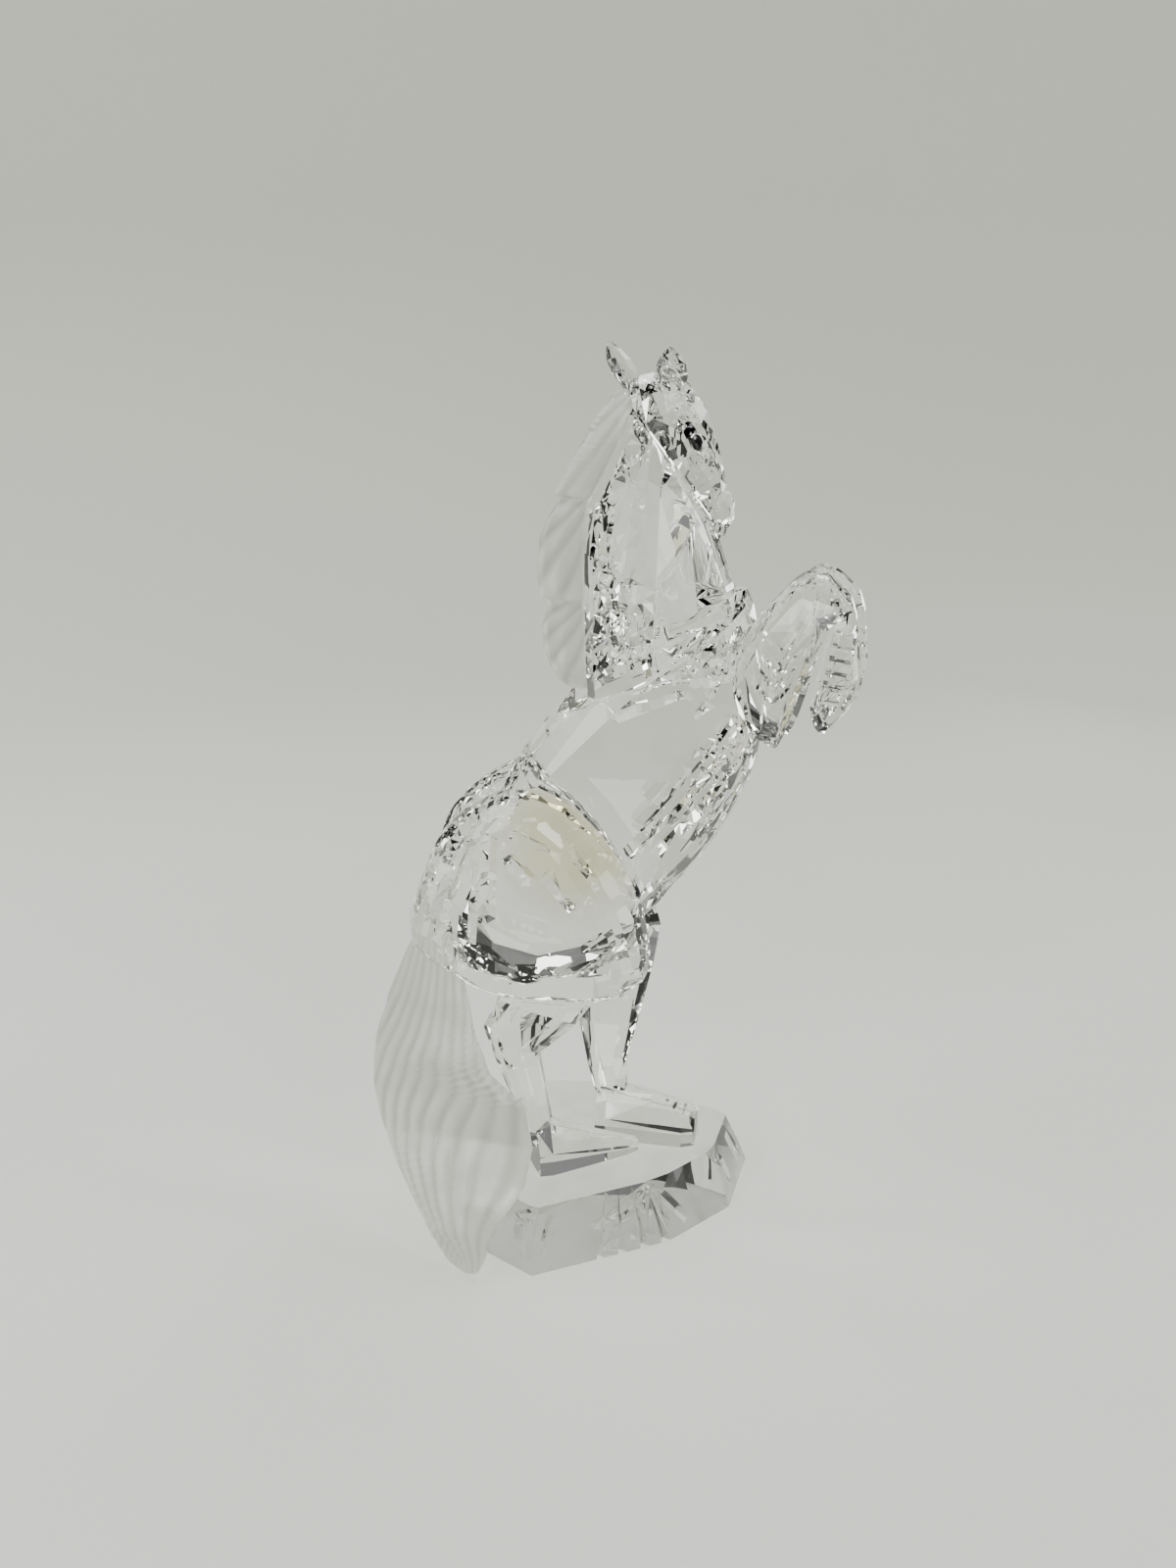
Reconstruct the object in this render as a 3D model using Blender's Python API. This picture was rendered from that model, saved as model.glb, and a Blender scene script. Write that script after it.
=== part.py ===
"""Crystal horse figurine: a rearing horse of cut glass, with a frosted mane and tail.

Units are metres. +Z is up, the horse faces +X, and its right side is towards -Y.
The origin is the middle of the foot's underside.

The horse is drawn in steps of one millimetre at its own height, measured from the
median plane (x, y) and from the ground of the drawing (z). Its foot, the glue gaps,
and the thickness of each cut block are sizes of their own.
"""

import math
from dataclasses import dataclass

import bmesh
import bpy
from mathutils import Matrix, Vector

MM = 0.001

# Driving sizes
HORSE_HEIGHT = 144.5 * MM        # foot's top to the ear tips
BASE_HEIGHT = 11.0 * MM
BASE_FLARE = 3.6 * MM            # how far the foot's sides run out on their way down
GLUE_GAP = 0.3 * MM
TORSO_WIDTH = 23.0 * MM
TORSO_EDGE = 10.0 * MM           # from the torso's outline to its flat window
THIGH_THICKNESS = 8.6 * MM
THIGH_EDGE = 8.0 * MM
NECK_WIDTH = 29.0 * MM
NECK_TOP_WIDTH = 11.0 * MM
FORELEG_THICKNESS = 7.6 * MM
FORELEG_SPACING = 14.0 * MM
MANE_THICKNESS = 7.4 * MM
TAIL_THICKNESS = 6.4 * MM
STRAND_DEPTH = 0.55 * MM         # relief of the strands in mane and tail
HEAD_WIDTH = 11.6 * MM
EAR_LENGTH = 7.2 * MM
EAR_THICKNESS = 2.8 * MM
EYE_LENGTH = 2.8 * MM
EYE_WIDTH = 1.9 * MM
MOUTH_GAP = 0.35 * MM
HEAD_TURN = math.radians(38.0)   # to the horse's left
SIDE_TAPER = math.radians(5.0)   # the torso's windows draw in towards the rump
JOINT_ROLL = math.radians(7.0)   # the neck's joint dips towards the right side
TORSO_SLANT = math.radians(57.5) # the torso's long axis, from level

DRAWN_BASE_TOP = 11.0
DRAWN_EAR_TIP = 155.5
STEP = HORSE_HEIGHT / (DRAWN_EAR_TIP - DRAWN_BASE_TOP)

# Outlines in the drawing, (x, z)
TORSO_OUTLINE = (
    (-3.0, 103.0), (-6.5, 98.9), (-12.2, 90.7), (-17.5, 80.5), (-22.0, 70.0), (-25.0, 60.0),
    (-21.5, 51.0), (-12.0, 47.5), (-2.0, 50.0), (5.6, 56.0), (13.6, 66.0), (19.4, 74.0),
    (24.0, 82.6), (26.6, 91.5), (26.6, 101.5), (25.0, 110.7), (21.5, 118.0), (10.0, 119.0),
)
TORSO_MIDDLE = (1.0, 77.5)
WITHERS = (-1.6, 99.5)
BREAST = (23.3, 115.5)
NECK_OUTLINE = (
    (-0.8, 97.0), (-2.4, 108.0), (-2.8, 118.0), (-2.0, 130.0), (1.8, 140.0), (6.0, 147.0),
    (11.2, 144.5), (14.8, 135.5), (20.2, 123.6), (24.4, 114.5), (21.0, 103.0), (8.0, 95.0),
)
NECK_FOOT = (12.0, 104.0)        # where the neck is as wide as NECK_WIDTH
NECK_TOP = (6.0, 143.0)          # and as narrow as NECK_TOP_WIDTH
CREST_EDGE, THROAT_EDGE = 9.0, 6.0   # from the neck's outline to its flat window
THIGH_OUTLINE = (
    (-31.4, 57.5), (-28.6, 69.7), (-24.4, 77.3), (-16.6, 83.0), (-9.8, 84.2), (-3.6, 81.6),
    (2.4, 75.4), (6.8, 68.0), (9.2, 60.5), (9.0, 52.5), (2.0, 47.5), (-13.0, 46.5), (-24.0, 50.5),
)
LEFT_THIGH_SHIFT = (-3.0, -3.0)  # the left thigh sits a little further back and lower
THIGH_CROWN = (
    # facets round the thigh's flat window: centre (x, z), direction in degrees from +X, tilt in degrees
    (3.0, 68.5, 22.0, 10.0), (-3.5, 76.0, 66.0, 9.0), (-13.0, 77.5, 112.0, 13.0), (-20.0, 70.0, 158.0, 9.0),
    (-21.0, 60.5, 195.0, 14.0), (-12.0, 55.0, 250.0, 8.0), (0.5, 58.0, 318.0, 12.0),
)
TORSO_CROWN = (
    # facets beside the torso's flat window: centre (x, z), direction in degrees from +X, tilt in degrees
    (15.0, 84.0, -35.0, 9.0), (19.5, 103.0, 0.0, 6.0), (6.0, 66.0, -50.0, 9.0), (-6.5, 91.5, 155.0, 11.0),
    (-13.0, 77.0, 178.0, 11.0),
)
FOREARM_OUTLINE = (
    (22.5, 102.0), (26.0, 110.0), (28.6, 113.8), (31.6, 117.0), (34.6, 118.4), (37.0, 117.0),
    (37.6, 112.6), (36.2, 106.5), (34.1, 99.5), (32.1, 93.2), (29.8, 91.0), (25.0, 94.5),
)
KNEE_OUTLINE = (
    (29.6, 113.4), (31.4, 117.0), (35.0, 119.7), (38.5, 118.8), (40.9, 116.2), (41.8, 112.8),
    (39.2, 111.4), (32.0, 110.6),
)
CANNON_OUTLINE = (
    (40.0, 117.0), (42.0, 115.0), (43.0, 111.0), (43.5, 106.0), (43.6, 102.0), (42.4, 98.4),
    (40.4, 95.8), (38.4, 94.6), (36.6, 96.0), (36.0, 99.2), (36.8, 103.4), (37.8, 108.0), (38.6, 112.0),
)
FORE_HOOF_OUTLINE = (
    (42.6, 99.6), (41.6, 97.0), (40.2, 94.8), (38.6, 93.6), (36.9, 94.8), (36.4, 97.6),
    (37.6, 100.4), (40.6, 101.6),
)
FORELEG_BLOCKS = (
    # outline, thickness as a share, width of the bevelled edge
    (FOREARM_OUTLINE, 1.0, 3.4),
    (CANNON_OUTLINE, 0.86, 1.9),
    (KNEE_OUTLINE, 0.97, 2.6),
    (FORE_HOOF_OUTLINE, 0.94, 2.0),
)
FEWEST_FACETS = 10               # round the outline of a small block
BLOCK_TILTS = (0.0, math.radians(32.0), math.radians(58.0))
NEAR_LEG_SHIFT = (-1.0, 2.2)     # the right foreleg sits a little further back and higher
BASE_OUTLINE = (
    (-7.9, -23.9), (11.8, -11.0), (20.4, 0.5), (21.6, 14.0), (1.1, 22.4), (-14.0, 20.5),
    (-24.0, 8.0), (-24.5, -8.0), (-18.5, -17.5),
)
MANE_LOCKS = (
    # height, outer edge and half thickness as a share, from each lock's top to its lower rim
    ((149.5, 3.2, 0.4), (147.8, 2.2, 0.75), (144.0, 0.2, 0.95), (139.0, -2.9, 0.95),
     (134.5, -6.2, 0.95), (131.6, -8.6, 0.9), (130.6, -7.4, 0.6)),
    ((136.0, -2.6, 0.6), (132.0, -7.4, 0.75), (129.0, -9.2, 0.85), (124.5, -10.6, 0.95),
     (119.0, -11.0, 1.0), (114.6, -11.4, 0.95), (113.4, -9.6, 0.65)),
    ((118.0, -6.0, 0.6), (114.0, -9.6, 0.75), (110.0, -10.6, 0.85), (105.5, -10.2, 0.9),
     (101.5, -8.6, 0.85), (99.6, -7.0, 0.7), (98.8, -5.6, 0.5)),
)
MANE_SEAT = ((150.5, 4.6), (145.0, 6.5), (138.0, 2.0), (131.0, -1.0), (98.0, 0.5))
TAIL_EDGES = (
    # left edge, right edge of the fan, from the rump to the tip
    ((-24.0, 1.5, 62.0), (-19.0, -3.0, 56.0)),
    ((-30.6, 0.5, 57.0), (-24.5, -4.0, 50.5)),
    ((-35.6, -0.5, 49.0), (-24.0, -6.0, 43.6)),
    ((-39.6, -3.0, 39.0), (-21.6, -9.6, 37.0)),
    ((-41.6, -5.0, 31.0), (-17.6, -15.2, 31.5)),
    ((-41.4, -8.0, 23.4), (-10.8, -18.0, 28.0)),
    ((-38.6, -12.0, 17.2), (-9.0, -20.0, 20.6)),
    ((-34.6, -17.5, 13.0), (-9.6, -24.4, 15.6)),
    ((-30.2, -22.0, 8.8), (-11.6, -28.0, 13.0)),
    ((-26.4, -26.6, 6.2), (-14.2, -29.4, 8.4)),
    ((-22.2, -29.8, 2.6), (-15.6, -30.4, 3.6)),
    ((-18.8, -31.2, 1.3), (-16.6, -31.4, 1.5)),
)
HEAD_STATIONS = (
    # front (forward, height), back (forward, height), half width as a share
    ((3.4, 151.4), (-3.0, 149.6), 0.50),
    ((7.8, 149.5), (-2.6, 143.4), 0.85),
    ((10.4, 146.2), (0.2, 138.0), 1.0),
    ((12.2, 141.0), (3.6, 133.4), 0.98),
    ((13.8, 136.2), (7.2, 130.6), 0.80),
    ((14.7, 133.2), (9.2, 127.8), 0.58),
    ((16.6, 130.4), (10.4, 125.6), 0.58),
    ((16.6, 127.4), (10.9, 123.6), 0.54),
    ((15.2, 125.0), (12.4, 123.2), 0.36),
)
HEAD_PIVOT = (6.6, 0.0)
HEAD_JOINT = (11.0, 136.6)
CHEEK = (5.8, 135.9, 3.9)        # forward, height, radius
MOUTH = ((12.6, 126.0), (18.5, 125.2))
EAR_SINK = 2.8                   # how far the ears' roots lie under the poll
EAR_ROOT_SPREAD = 0.55           # shares of the head's half width
EAR_TIP_SPREAD = 0.97
EYE_PLACE = (6.4, 140.6)         # forward, height
EAR_SHAPES = {
    # side: root forward, tip forward, half widths from root to tip
    -1: (2.8, 0.9, (2.2, 3.1, 2.7, 1.5, 0.3)),
    1: (-0.6, -3.6, (1.6, 2.3, 2.2, 1.2, 0.3)),
}
RIGHT_LEG_STATIONS = (
    # centre (x, y, z), half depth, half width, lean in degrees
    (-5.0, -15.5, 53.0, 10.0, 4.4, 0.0), (-9.5, -13.5, 44.0, 7.6, 4.4, -14.0),
    (-14.6, -10.5, 37.0, 5.8, 3.9, -26.0), (-13.6, -9.0, 31.5, 4.0, 3.5, 10.0),
    (-11.6, -9.0, 24.0, 3.2, 3.2, 0.0), (-10.6, -9.6, 16.5, 3.6, 3.4, -8.0),
)
LEFT_LEG_STATIONS = (
    (0.5, 15.5, 52.0, 9.0, 4.4, 0.0), (0.5, 12.0, 42.0, 7.4, 4.6, 0.0),
    (-0.2, 8.5, 33.0, 6.0, 4.4, 0.0), (-0.2, 5.6, 24.5, 3.6, 3.6, 0.0),
    (1.0, 4.6, 18.5, 3.4, 3.4, -20.0),
)
RIGHT_HOOF = ((-10.6, -11.4), (6.6, -1.8), (4.2, 1.4), (9.5, 2.2))
LEFT_HOOF = ((-1.6, 4.2), (17.0, 3.2), (3.9, 3.8), (9.4, 6.4))
FLUTES = (
    # where a flute starts along the near edge (share), how far it fans out, its width
    (0.56, -0.10, 2.6), (0.67, -0.03, 2.8), (0.78, 0.05, 3.0), (0.89, 0.12, 3.2),
)

Y_AXIS = Vector((0.0, 1.0, 0.0))
Z_AXIS = Vector((0.0, 0.0, 1.0))
BLANK_SIZE = 4.0 * HORSE_HEIGHT
FLAT = math.radians(0.05)        # faces that meet at less than this are one facet
WELD = 0.003 * MM
RIGHT, LEFT = -1, 1


def place(x, y, z):
    """A point of the drawing as a point of the part."""
    return Vector((x * STEP, y * STEP, BASE_HEIGHT + (z - DRAWN_BASE_TOP) * STEP))


@dataclass(frozen=True)
class Plane:
    """A ground face: the solid lies where normal . point <= reach."""

    normal: Vector
    reach: float

    @classmethod
    def through(cls, point, normal):
        unit = normal.normalized()
        return cls(unit, unit.dot(point))


def grind(planes, allowance=0.0):
    """A convex solid cut from a large block by planes, each moved out by the allowance."""
    bm = bmesh.new()
    bmesh.ops.create_cube(bm, size=BLANK_SIZE)
    for plane in planes:
        cut = bmesh.ops.bisect_plane(
            bm, geom=bm.verts[:] + bm.edges[:] + bm.faces[:], dist=1e-7,
            plane_co=plane.normal * (plane.reach + allowance), plane_no=plane.normal,
            clear_outer=True)
        rim = [item for item in cut["geom_cut"] if isinstance(item, bmesh.types.BMEdge)]
        if len(rim) > 2:
            bmesh.ops.contextual_create(bm, geom=rim)
    bmesh.ops.remove_doubles(bm, verts=bm.verts[:], dist=2e-6)
    bmesh.ops.dissolve_degenerate(bm, edges=bm.edges[:], dist=1e-6)
    bmesh.ops.recalc_face_normals(bm, faces=bm.faces[:])
    return bm


def closed_curve(corners, count, phase):
    """Evenly spaced points and outward normals on a smooth closed curve in the XZ plane."""
    points = [place(x, 0.0, z) for x, z in corners]
    total = len(points)
    dense = []
    fine = 16
    for index in range(total):
        p0, p1, p2, p3 = (points[(index + k - 1) % total] for k in range(4))
        for part in range(fine):
            t = part / fine
            dense.append(0.5 * (2.0 * p1 + (p2 - p0) * t
                                + (2.0 * p0 - 5.0 * p1 + 4.0 * p2 - p3) * t * t
                                + (3.0 * p1 - p0 - 3.0 * p2 + p3) * t ** 3))
    lengths = [0.0]
    for index, point in enumerate(dense):
        lengths.append(lengths[-1] + (dense[(index + 1) % len(dense)] - point).length)
    turn = sum(a.x * b.z - a.z * b.x for a, b in zip(dense, dense[1:] + dense[:1]))
    samples = []
    for number in range(count):
        wanted = lengths[-1] * (number + phase) / count
        index = max(k for k in range(len(dense)) if lengths[k] <= wanted)
        ahead = dense[(index + 2) % len(dense)] - dense[index - 1]
        outward = Vector((ahead.z, 0.0, -ahead.x)) if turn > 0.0 else Vector((-ahead.z, 0.0, ahead.x))
        samples.append((dense[index], outward.normalized()))
    return samples


def rim_facets(corners, count, half_width, edge, tilts, sides=(RIGHT, LEFT), centre_y=0.0):
    """Facets ground round an outline, row by row from the outline towards the flat window.

    half_width and edge are functions of a point on the outline. Every second row sits
    half a facet further round, so that the rows meet in diamonds.
    """
    planes = []
    for row, tilt in enumerate(tilts):
        rise, run = math.sin(tilt), math.cos(tilt)
        for point, outward in closed_curve(corners, count, 0.5 * (row % 2)):
            width, depth = half_width(point), edge(point)
            reach = run * (outward.dot(point) - depth) + math.hypot(depth * run, width * rise)
            for side in sides if rise > 0.0 else (0,):
                normal = outward * run + Y_AXIS * (side * rise)
                planes.append(Plane(normal, reach + normal.y * centre_y))
    return planes


def loft(rings):
    """A closed solid through rings of points, capped at both ends."""
    bm = bmesh.new()
    loops = []
    for ring in rings:
        verts = [bm.verts.new(point) for point in ring]
        loops.append([bm.edges.new((a, b)) for a, b in zip(verts, verts[1:] + verts[:1])])
    for first, second in zip(loops, loops[1:]):
        bmesh.ops.bridge_loops(bm, edges=first + second)
    for loop in (loops[0], loops[-1]):
        bmesh.ops.contextual_create(bm, geom=loop)
    bmesh.ops.recalc_face_normals(bm, faces=bm.faces[:])
    return bm


def ring(centre, first, second, sides, phase=0.5):
    """A closed ring of points round a centre, on two half axes."""
    return [centre + first * math.cos(math.tau * (k + phase) / sides)
            + second * math.sin(math.tau * (k + phase) / sides) for k in range(sides)]


def as_object(name, bm):
    """An object that holds a bmesh in flat triangles. The bmesh is freed."""
    mesh = bpy.data.meshes.new(name)
    bmesh.ops.triangulate(bm, faces=bm.faces[:])
    bm.to_mesh(mesh)
    bm.free()
    item = bpy.data.objects.new(name, mesh)
    bpy.context.scene.collection.objects.link(item)
    return item


def combine(target, tool_mesh, operation):
    """Joins a bmesh to an object, or cuts it out, and keeps the result as the object's mesh."""
    tool = as_object("tool", tool_mesh)
    modifier = target.modifiers.new("combine", "BOOLEAN")
    modifier.operation = operation
    modifier.solver = "EXACT"
    modifier.object = tool
    bpy.context.view_layer.update()
    evaluated = target.evaluated_get(bpy.context.evaluated_depsgraph_get())
    bm = bmesh.new()
    bm.from_mesh(evaluated.to_mesh())
    evaluated.to_mesh_clear()
    target.modifiers.clear()
    tidy(bm)
    bm.to_mesh(target.data)
    bm.free()
    bpy.data.objects.remove(tool)
    return target


def tidy(bm):
    """Merges what a cut left doubled or split, and leaves flat triangles."""
    bmesh.ops.remove_doubles(bm, verts=bm.verts[:], dist=WELD)
    bmesh.ops.dissolve_limit(bm, angle_limit=FLAT, verts=bm.verts[:], edges=bm.edges[:])
    bmesh.ops.dissolve_degenerate(bm, edges=bm.edges[:], dist=WELD)
    bmesh.ops.triangulate(bm, faces=bm.faces[:])


def finish(item, glass, smooth_below=0.0):
    """Gives a piece its own material and shading."""
    bm = bmesh.new()
    bm.from_mesh(item.data)
    tidy(bm)
    bm.to_mesh(item.data)
    bm.free()
    item.data.materials.clear()
    item.data.materials.append(glass.material(item.name))
    if smooth_below > 0.0:
        item.data.shade_smooth()
        item.data.set_sharp_from_angle(angle=smooth_below)
    return item


@dataclass(frozen=True)
class Glass:
    """A kind of glass: each piece has a material of its own of this kind."""

    colour: tuple
    roughness: float
    transmission: float = 1.0

    def material(self, piece):
        """The material of one piece."""
        material = bpy.data.materials.new(piece + "_glass")
        material.use_nodes = True
        shader = material.node_tree.nodes["Principled BSDF"]
        shader.inputs["Base Color"].default_value = (*self.colour, 1.0)
        shader.inputs["Roughness"].default_value = self.roughness
        shader.inputs["Metallic"].default_value = 0.0
        shader.inputs["IOR"].default_value = 1.54
        shader.inputs["Transmission Weight"].default_value = self.transmission
        return material


CLEAR = Glass((0.97, 0.98, 0.97), 0.02)
FROSTED = Glass((0.93, 0.93, 0.92), 0.55)
BLACK = Glass((0.01, 0.01, 0.012), 0.08, transmission=0.0)
ROUND = math.radians(50.0)       # edges blunter than this are shaded smooth


def neck_joint():
    """The slanted face between torso and neck, which looks up and back."""
    low, high = place(WITHERS[0], 0.0, WITHERS[1]), place(BREAST[0], 0.0, BREAST[1])
    run = (high - low).normalized()
    level = Vector((-run.z, 0.0, run.x))
    return Plane.through(low, level * math.cos(JOINT_ROLL) - Y_AXIS * math.sin(JOINT_ROLL))


def facing_down(plane, gap):
    """The same face seen from the other side, a gap away."""
    return Plane(-plane.normal, -(plane.reach + gap))


def crown(facets, window, side):
    """Large facets that lean away from a flat window, each through its own centre on it."""
    planes = []
    for x, z, direction, tilt in facets:
        heading, lean = math.radians(direction), math.radians(tilt)
        point = place(x, 0.0, z)
        point.y = (window.reach - window.normal.x * point.x - window.normal.z * point.z) / window.normal.y
        away = Vector((math.cos(heading), 0.0, math.sin(heading)))
        planes.append(Plane.through(point, Y_AXIS * (side * math.cos(lean)) + away * math.sin(lean)))
    return planes


def torso_windows():
    """The torso's two flat sides, a little closer together at the rump."""
    along = Vector((math.cos(TORSO_SLANT), 0.0, math.sin(TORSO_SLANT)))
    middle = place(TORSO_MIDDLE[0], 0.0, TORSO_MIDDLE[1])
    planes = []
    for side in (RIGHT, LEFT):
        normal = Y_AXIS * (side * math.cos(SIDE_TAPER)) - along * math.sin(SIDE_TAPER)
        planes.append(Plane.through(middle + Y_AXIS * (side * 0.5 * TORSO_WIDTH), normal))
    return planes


def torso_planes():
    """All faces of the torso."""
    planes = rim_facets(
        TORSO_OUTLINE, 22, lambda point: 0.56 * TORSO_WIDTH, lambda point: TORSO_EDGE,
        (0.0, math.radians(30.0), math.radians(56.0)))
    for side, window in zip((RIGHT, LEFT), torso_windows()):
        planes += crown(TORSO_CROWN, window, side)
    return planes + torso_windows() + [neck_joint()]


def neck_planes():
    """All faces of the neck: a flat window on each side, and many facets along the crest."""
    foot, top = place(NECK_FOOT[0], 0.0, NECK_FOOT[1]), place(NECK_TOP[0], 0.0, NECK_TOP[1])

    def half_width(point):
        share = min(max((point.z - foot.z) / (top.z - foot.z), 0.0), 1.0)
        return 0.5 * ((1.0 - share) * NECK_WIDTH * 1.1 + share * NECK_TOP_WIDTH * 1.2)

    def edge(point):
        return (CREST_EDGE if point.x < top.x else THROAT_EDGE) * STEP

    planes = rim_facets(
        NECK_OUTLINE, 18, half_width, edge, (0.0, math.radians(28.0), math.radians(54.0)))
    lean = math.atan2(0.5 * (NECK_WIDTH - NECK_TOP_WIDTH), top.z - foot.z)
    for side in (RIGHT, LEFT):
        normal = Vector((0.10, side * math.cos(lean), math.sin(lean)))
        planes.append(Plane.through(foot + Y_AXIS * (side * 0.5 * NECK_WIDTH), normal))
    planes.append(facing_down(neck_joint(), GLUE_GAP))
    planes.append(head_joint())
    return planes


def head_joint():
    """The slanted face between the neck's upper end and the head."""
    turn = 0.5 * HEAD_TURN
    normal = Vector((0.8 * math.cos(turn), 0.8 * math.sin(turn), 0.6))
    return Plane.through(place(HEAD_JOINT[0], 0.0, HEAD_JOINT[1]), normal)


def make_torso():
    return finish(as_object("torso", grind(torso_planes())), CLEAR)


def make_neck():
    return finish(as_object("neck", grind(neck_planes())), CLEAR)


def thigh_planes(side, ahead, up):
    """A cut thigh: flat inside, domed outside, with a flat window in the dome."""
    outline = tuple((x + ahead, z + up) for x, z in THIGH_OUTLINE)
    inner = torso_windows()[0 if side == RIGHT else 1]
    seat = side * 0.5 * TORSO_WIDTH
    planes = rim_facets(
        outline, 18, lambda point: THIGH_THICKNESS * 1.12, lambda point: THIGH_EDGE,
        (math.radians(4.0), math.radians(34.0), math.radians(60.0)), (side,), seat)
    window = Plane(Y_AXIS * side, 0.5 * TORSO_WIDTH + THIGH_THICKNESS)
    moved = tuple((x + ahead, z + up, direction, tilt) for x, z, direction, tilt in THIGH_CROWN)
    planes += crown(moved, window, side)
    planes += [window, facing_down(inner, GLUE_GAP)]
    return planes


def block(outline, centre_y, half_width, edge):
    """A cut block with an outline in the XZ plane and both sides domed."""
    planes = rim_facets(outline, max(FEWEST_FACETS, len(outline)), lambda point: half_width * 1.15,
                        lambda point: edge, BLOCK_TILTS, (RIGHT, LEFT), centre_y)
    for way in (RIGHT, LEFT):
        planes.append(Plane(Y_AXIS * way, half_width + way * centre_y))
    return planes


def limb(stations, sides=8):
    """A leg lofted through stations: centre, half depth, half width, and the way it runs."""
    rings = []
    for x, y, z, depth, width, lean in stations:
        tilt = math.radians(lean)
        forward = Vector((math.cos(tilt), 0.0, math.sin(tilt))) * (depth * STEP)
        rings.append(ring(place(x, y, z), forward, Y_AXIS * (width * STEP), sides))
    return loft(rings)


def make_hind_leg(name, side, stations, foot):
    """A hind leg: cut thigh, gaskin, hock, cannon and a long flat hoof, all one piece."""
    ahead, up = LEFT_THIGH_SHIFT if side == LEFT else (0.0, 0.0)
    leg = as_object(name, grind(thigh_planes(side, ahead, up)))
    combine(leg, limb(stations), "UNION")
    combine(leg, hoof(*foot), "UNION")
    return finish(leg, CLEAR)


def hoof(heel, toe, half_widths, heights):
    """A wedge hoof from heel to toe, flat on the foot's top with a glue gap."""
    start, end = place(*heel, DRAWN_BASE_TOP), place(*toe, DRAWN_BASE_TOP)
    along = (end - start).normalized()
    across = Z_AXIS.cross(along)
    floor = BASE_HEIGHT + GLUE_GAP
    rings = []
    for share, lower, upper, height, set_in in (
            (0.0, 0.82, 0.55, 0.86, 0.0), (0.12, 1.0, 0.72, 1.0, 0.0), (0.55, 1.0, 0.6, 0.0, 0.0),
            (0.88, 0.95, 0.6, 0.0, 0.0), (1.0, 0.62, 0.4, 0.0, 0.0)):
        centre = start.lerp(end, share)
        wide = (half_widths[0] + (half_widths[1] - half_widths[0]) * share) * STEP
        tall = (height * heights[0] if height else
                heights[0] + (heights[1] - heights[0]) * share) * STEP
        low = Vector((centre.x, centre.y, floor))
        high = Vector((centre.x, centre.y, floor + tall))
        belly = Z_AXIS * (0.45 * tall)
        rings.append([
            low - across * wide * lower, low - across * wide * lower + belly,
            high - across * wide * upper * 0.8, high + across * wide * upper * 0.8,
            low + across * wide * lower + belly, low + across * wide * lower])
    return loft(rings)


def make_foreleg(name, side):
    """A folded foreleg: forearm and cannon with a narrow slot between them, and the hoof."""
    middle = side * 0.5 * FORELEG_SPACING
    ahead, up = NEAR_LEG_SHIFT if side == RIGHT else (0.0, 0.0)
    leg = None
    for outline, share, edge in FORELEG_BLOCKS:
        moved = tuple((x + ahead, z + up) for x, z in outline)
        cut = grind(block(moved, middle, 0.5 * FORELEG_THICKNESS * share, edge * STEP))
        leg = combine(leg, cut, "UNION") if leg else as_object(name, cut)
    combine(leg, grind(torso_planes(), GLUE_GAP), "DIFFERENCE")
    return finish(leg, CLEAR)


def waves(share, ridges):
    """The relief of the strands across a lock: rounded ridges with narrow grooves between."""
    return abs(math.sin(math.pi * ridges * share)) - 0.5


def blade(left, right, thickness, tangent, sides, ridges):
    """A ring of a flat, lens-shaped strand with grooves, from one edge to the other."""
    centre, across = (left + right) * 0.5, (right - left) * 0.5
    through = tangent.cross(across).normalized()
    points = []
    for k in range(sides):
        angle = math.tau * k / sides
        spread, rise = math.cos(angle), math.sin(angle)
        relief = STRAND_DEPTH * waves(0.5 + 0.5 * spread, ridges) * min(1.0, 2.0 * abs(rise))
        side = 1.0 if rise > 0.0 else -1.0
        height = 0.5 * thickness * rise + (side * relief if abs(rise) > 1e-6 else 0.0)
        points.append(centre + across * spread + through * height)
    return points


def seat_x(height):
    """How far forward the mane reaches into the crest at a height of the drawing."""
    for (high, front), (low, back) in zip(MANE_SEAT, MANE_SEAT[1:]):
        if height >= low:
            share = min(max((height - low) / (high - low), 0.0), 1.0)
            return back + (front - back) * share
    return MANE_SEAT[-1][1]


def make_mane():
    """The mane: three frosted locks that overlap like scales, one piece, fitted to the crest."""
    mane = None
    for lock in MANE_LOCKS:
        rings = []
        for height, outer, share in lock:
            left, right = place(outer, 0.0, height), place(seat_x(height) + 1.5, 0.0, height)
            rings.append(blade(left, right, MANE_THICKNESS * share, -Z_AXIS, 20, 5))
        if mane is None:
            mane = as_object("mane", loft(rings))
        else:
            combine(mane, loft(rings), "UNION")
    combine(mane, grind(neck_planes(), GLUE_GAP), "DIFFERENCE")
    combine(mane, grind(torso_planes(), GLUE_GAP), "DIFFERENCE")
    combine(mane, skull(GLUE_GAP), "DIFFERENCE")
    combine(mane, ear(LEFT, GLUE_GAP), "DIFFERENCE")
    return finish(mane, FROSTED, ROUND)


def make_tail():
    """The tail: a frosted, curved fan that leaves the rump and sweeps down past the foot."""
    edges = [(place(*left), place(*right)) for left, right in TAIL_EDGES]
    middles = [(left + right) * 0.5 for left, right in edges]
    rings = []
    for index, (left, right) in enumerate(edges):
        before, after = middles[max(index - 1, 0)], middles[min(index + 1, len(edges) - 1)]
        wide = min(1.0, (right - left).length / (2.2 * TAIL_THICKNESS))
        rings.append(blade(left, right, TAIL_THICKNESS * (0.35 + 0.65 * wide),
                           (after - before).normalized(), 28, 6))
    tail = as_object("tail", loft(rings))
    combine(tail, grind(torso_planes(), GLUE_GAP), "DIFFERENCE")
    return finish(tail, FROSTED, ROUND)


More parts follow.
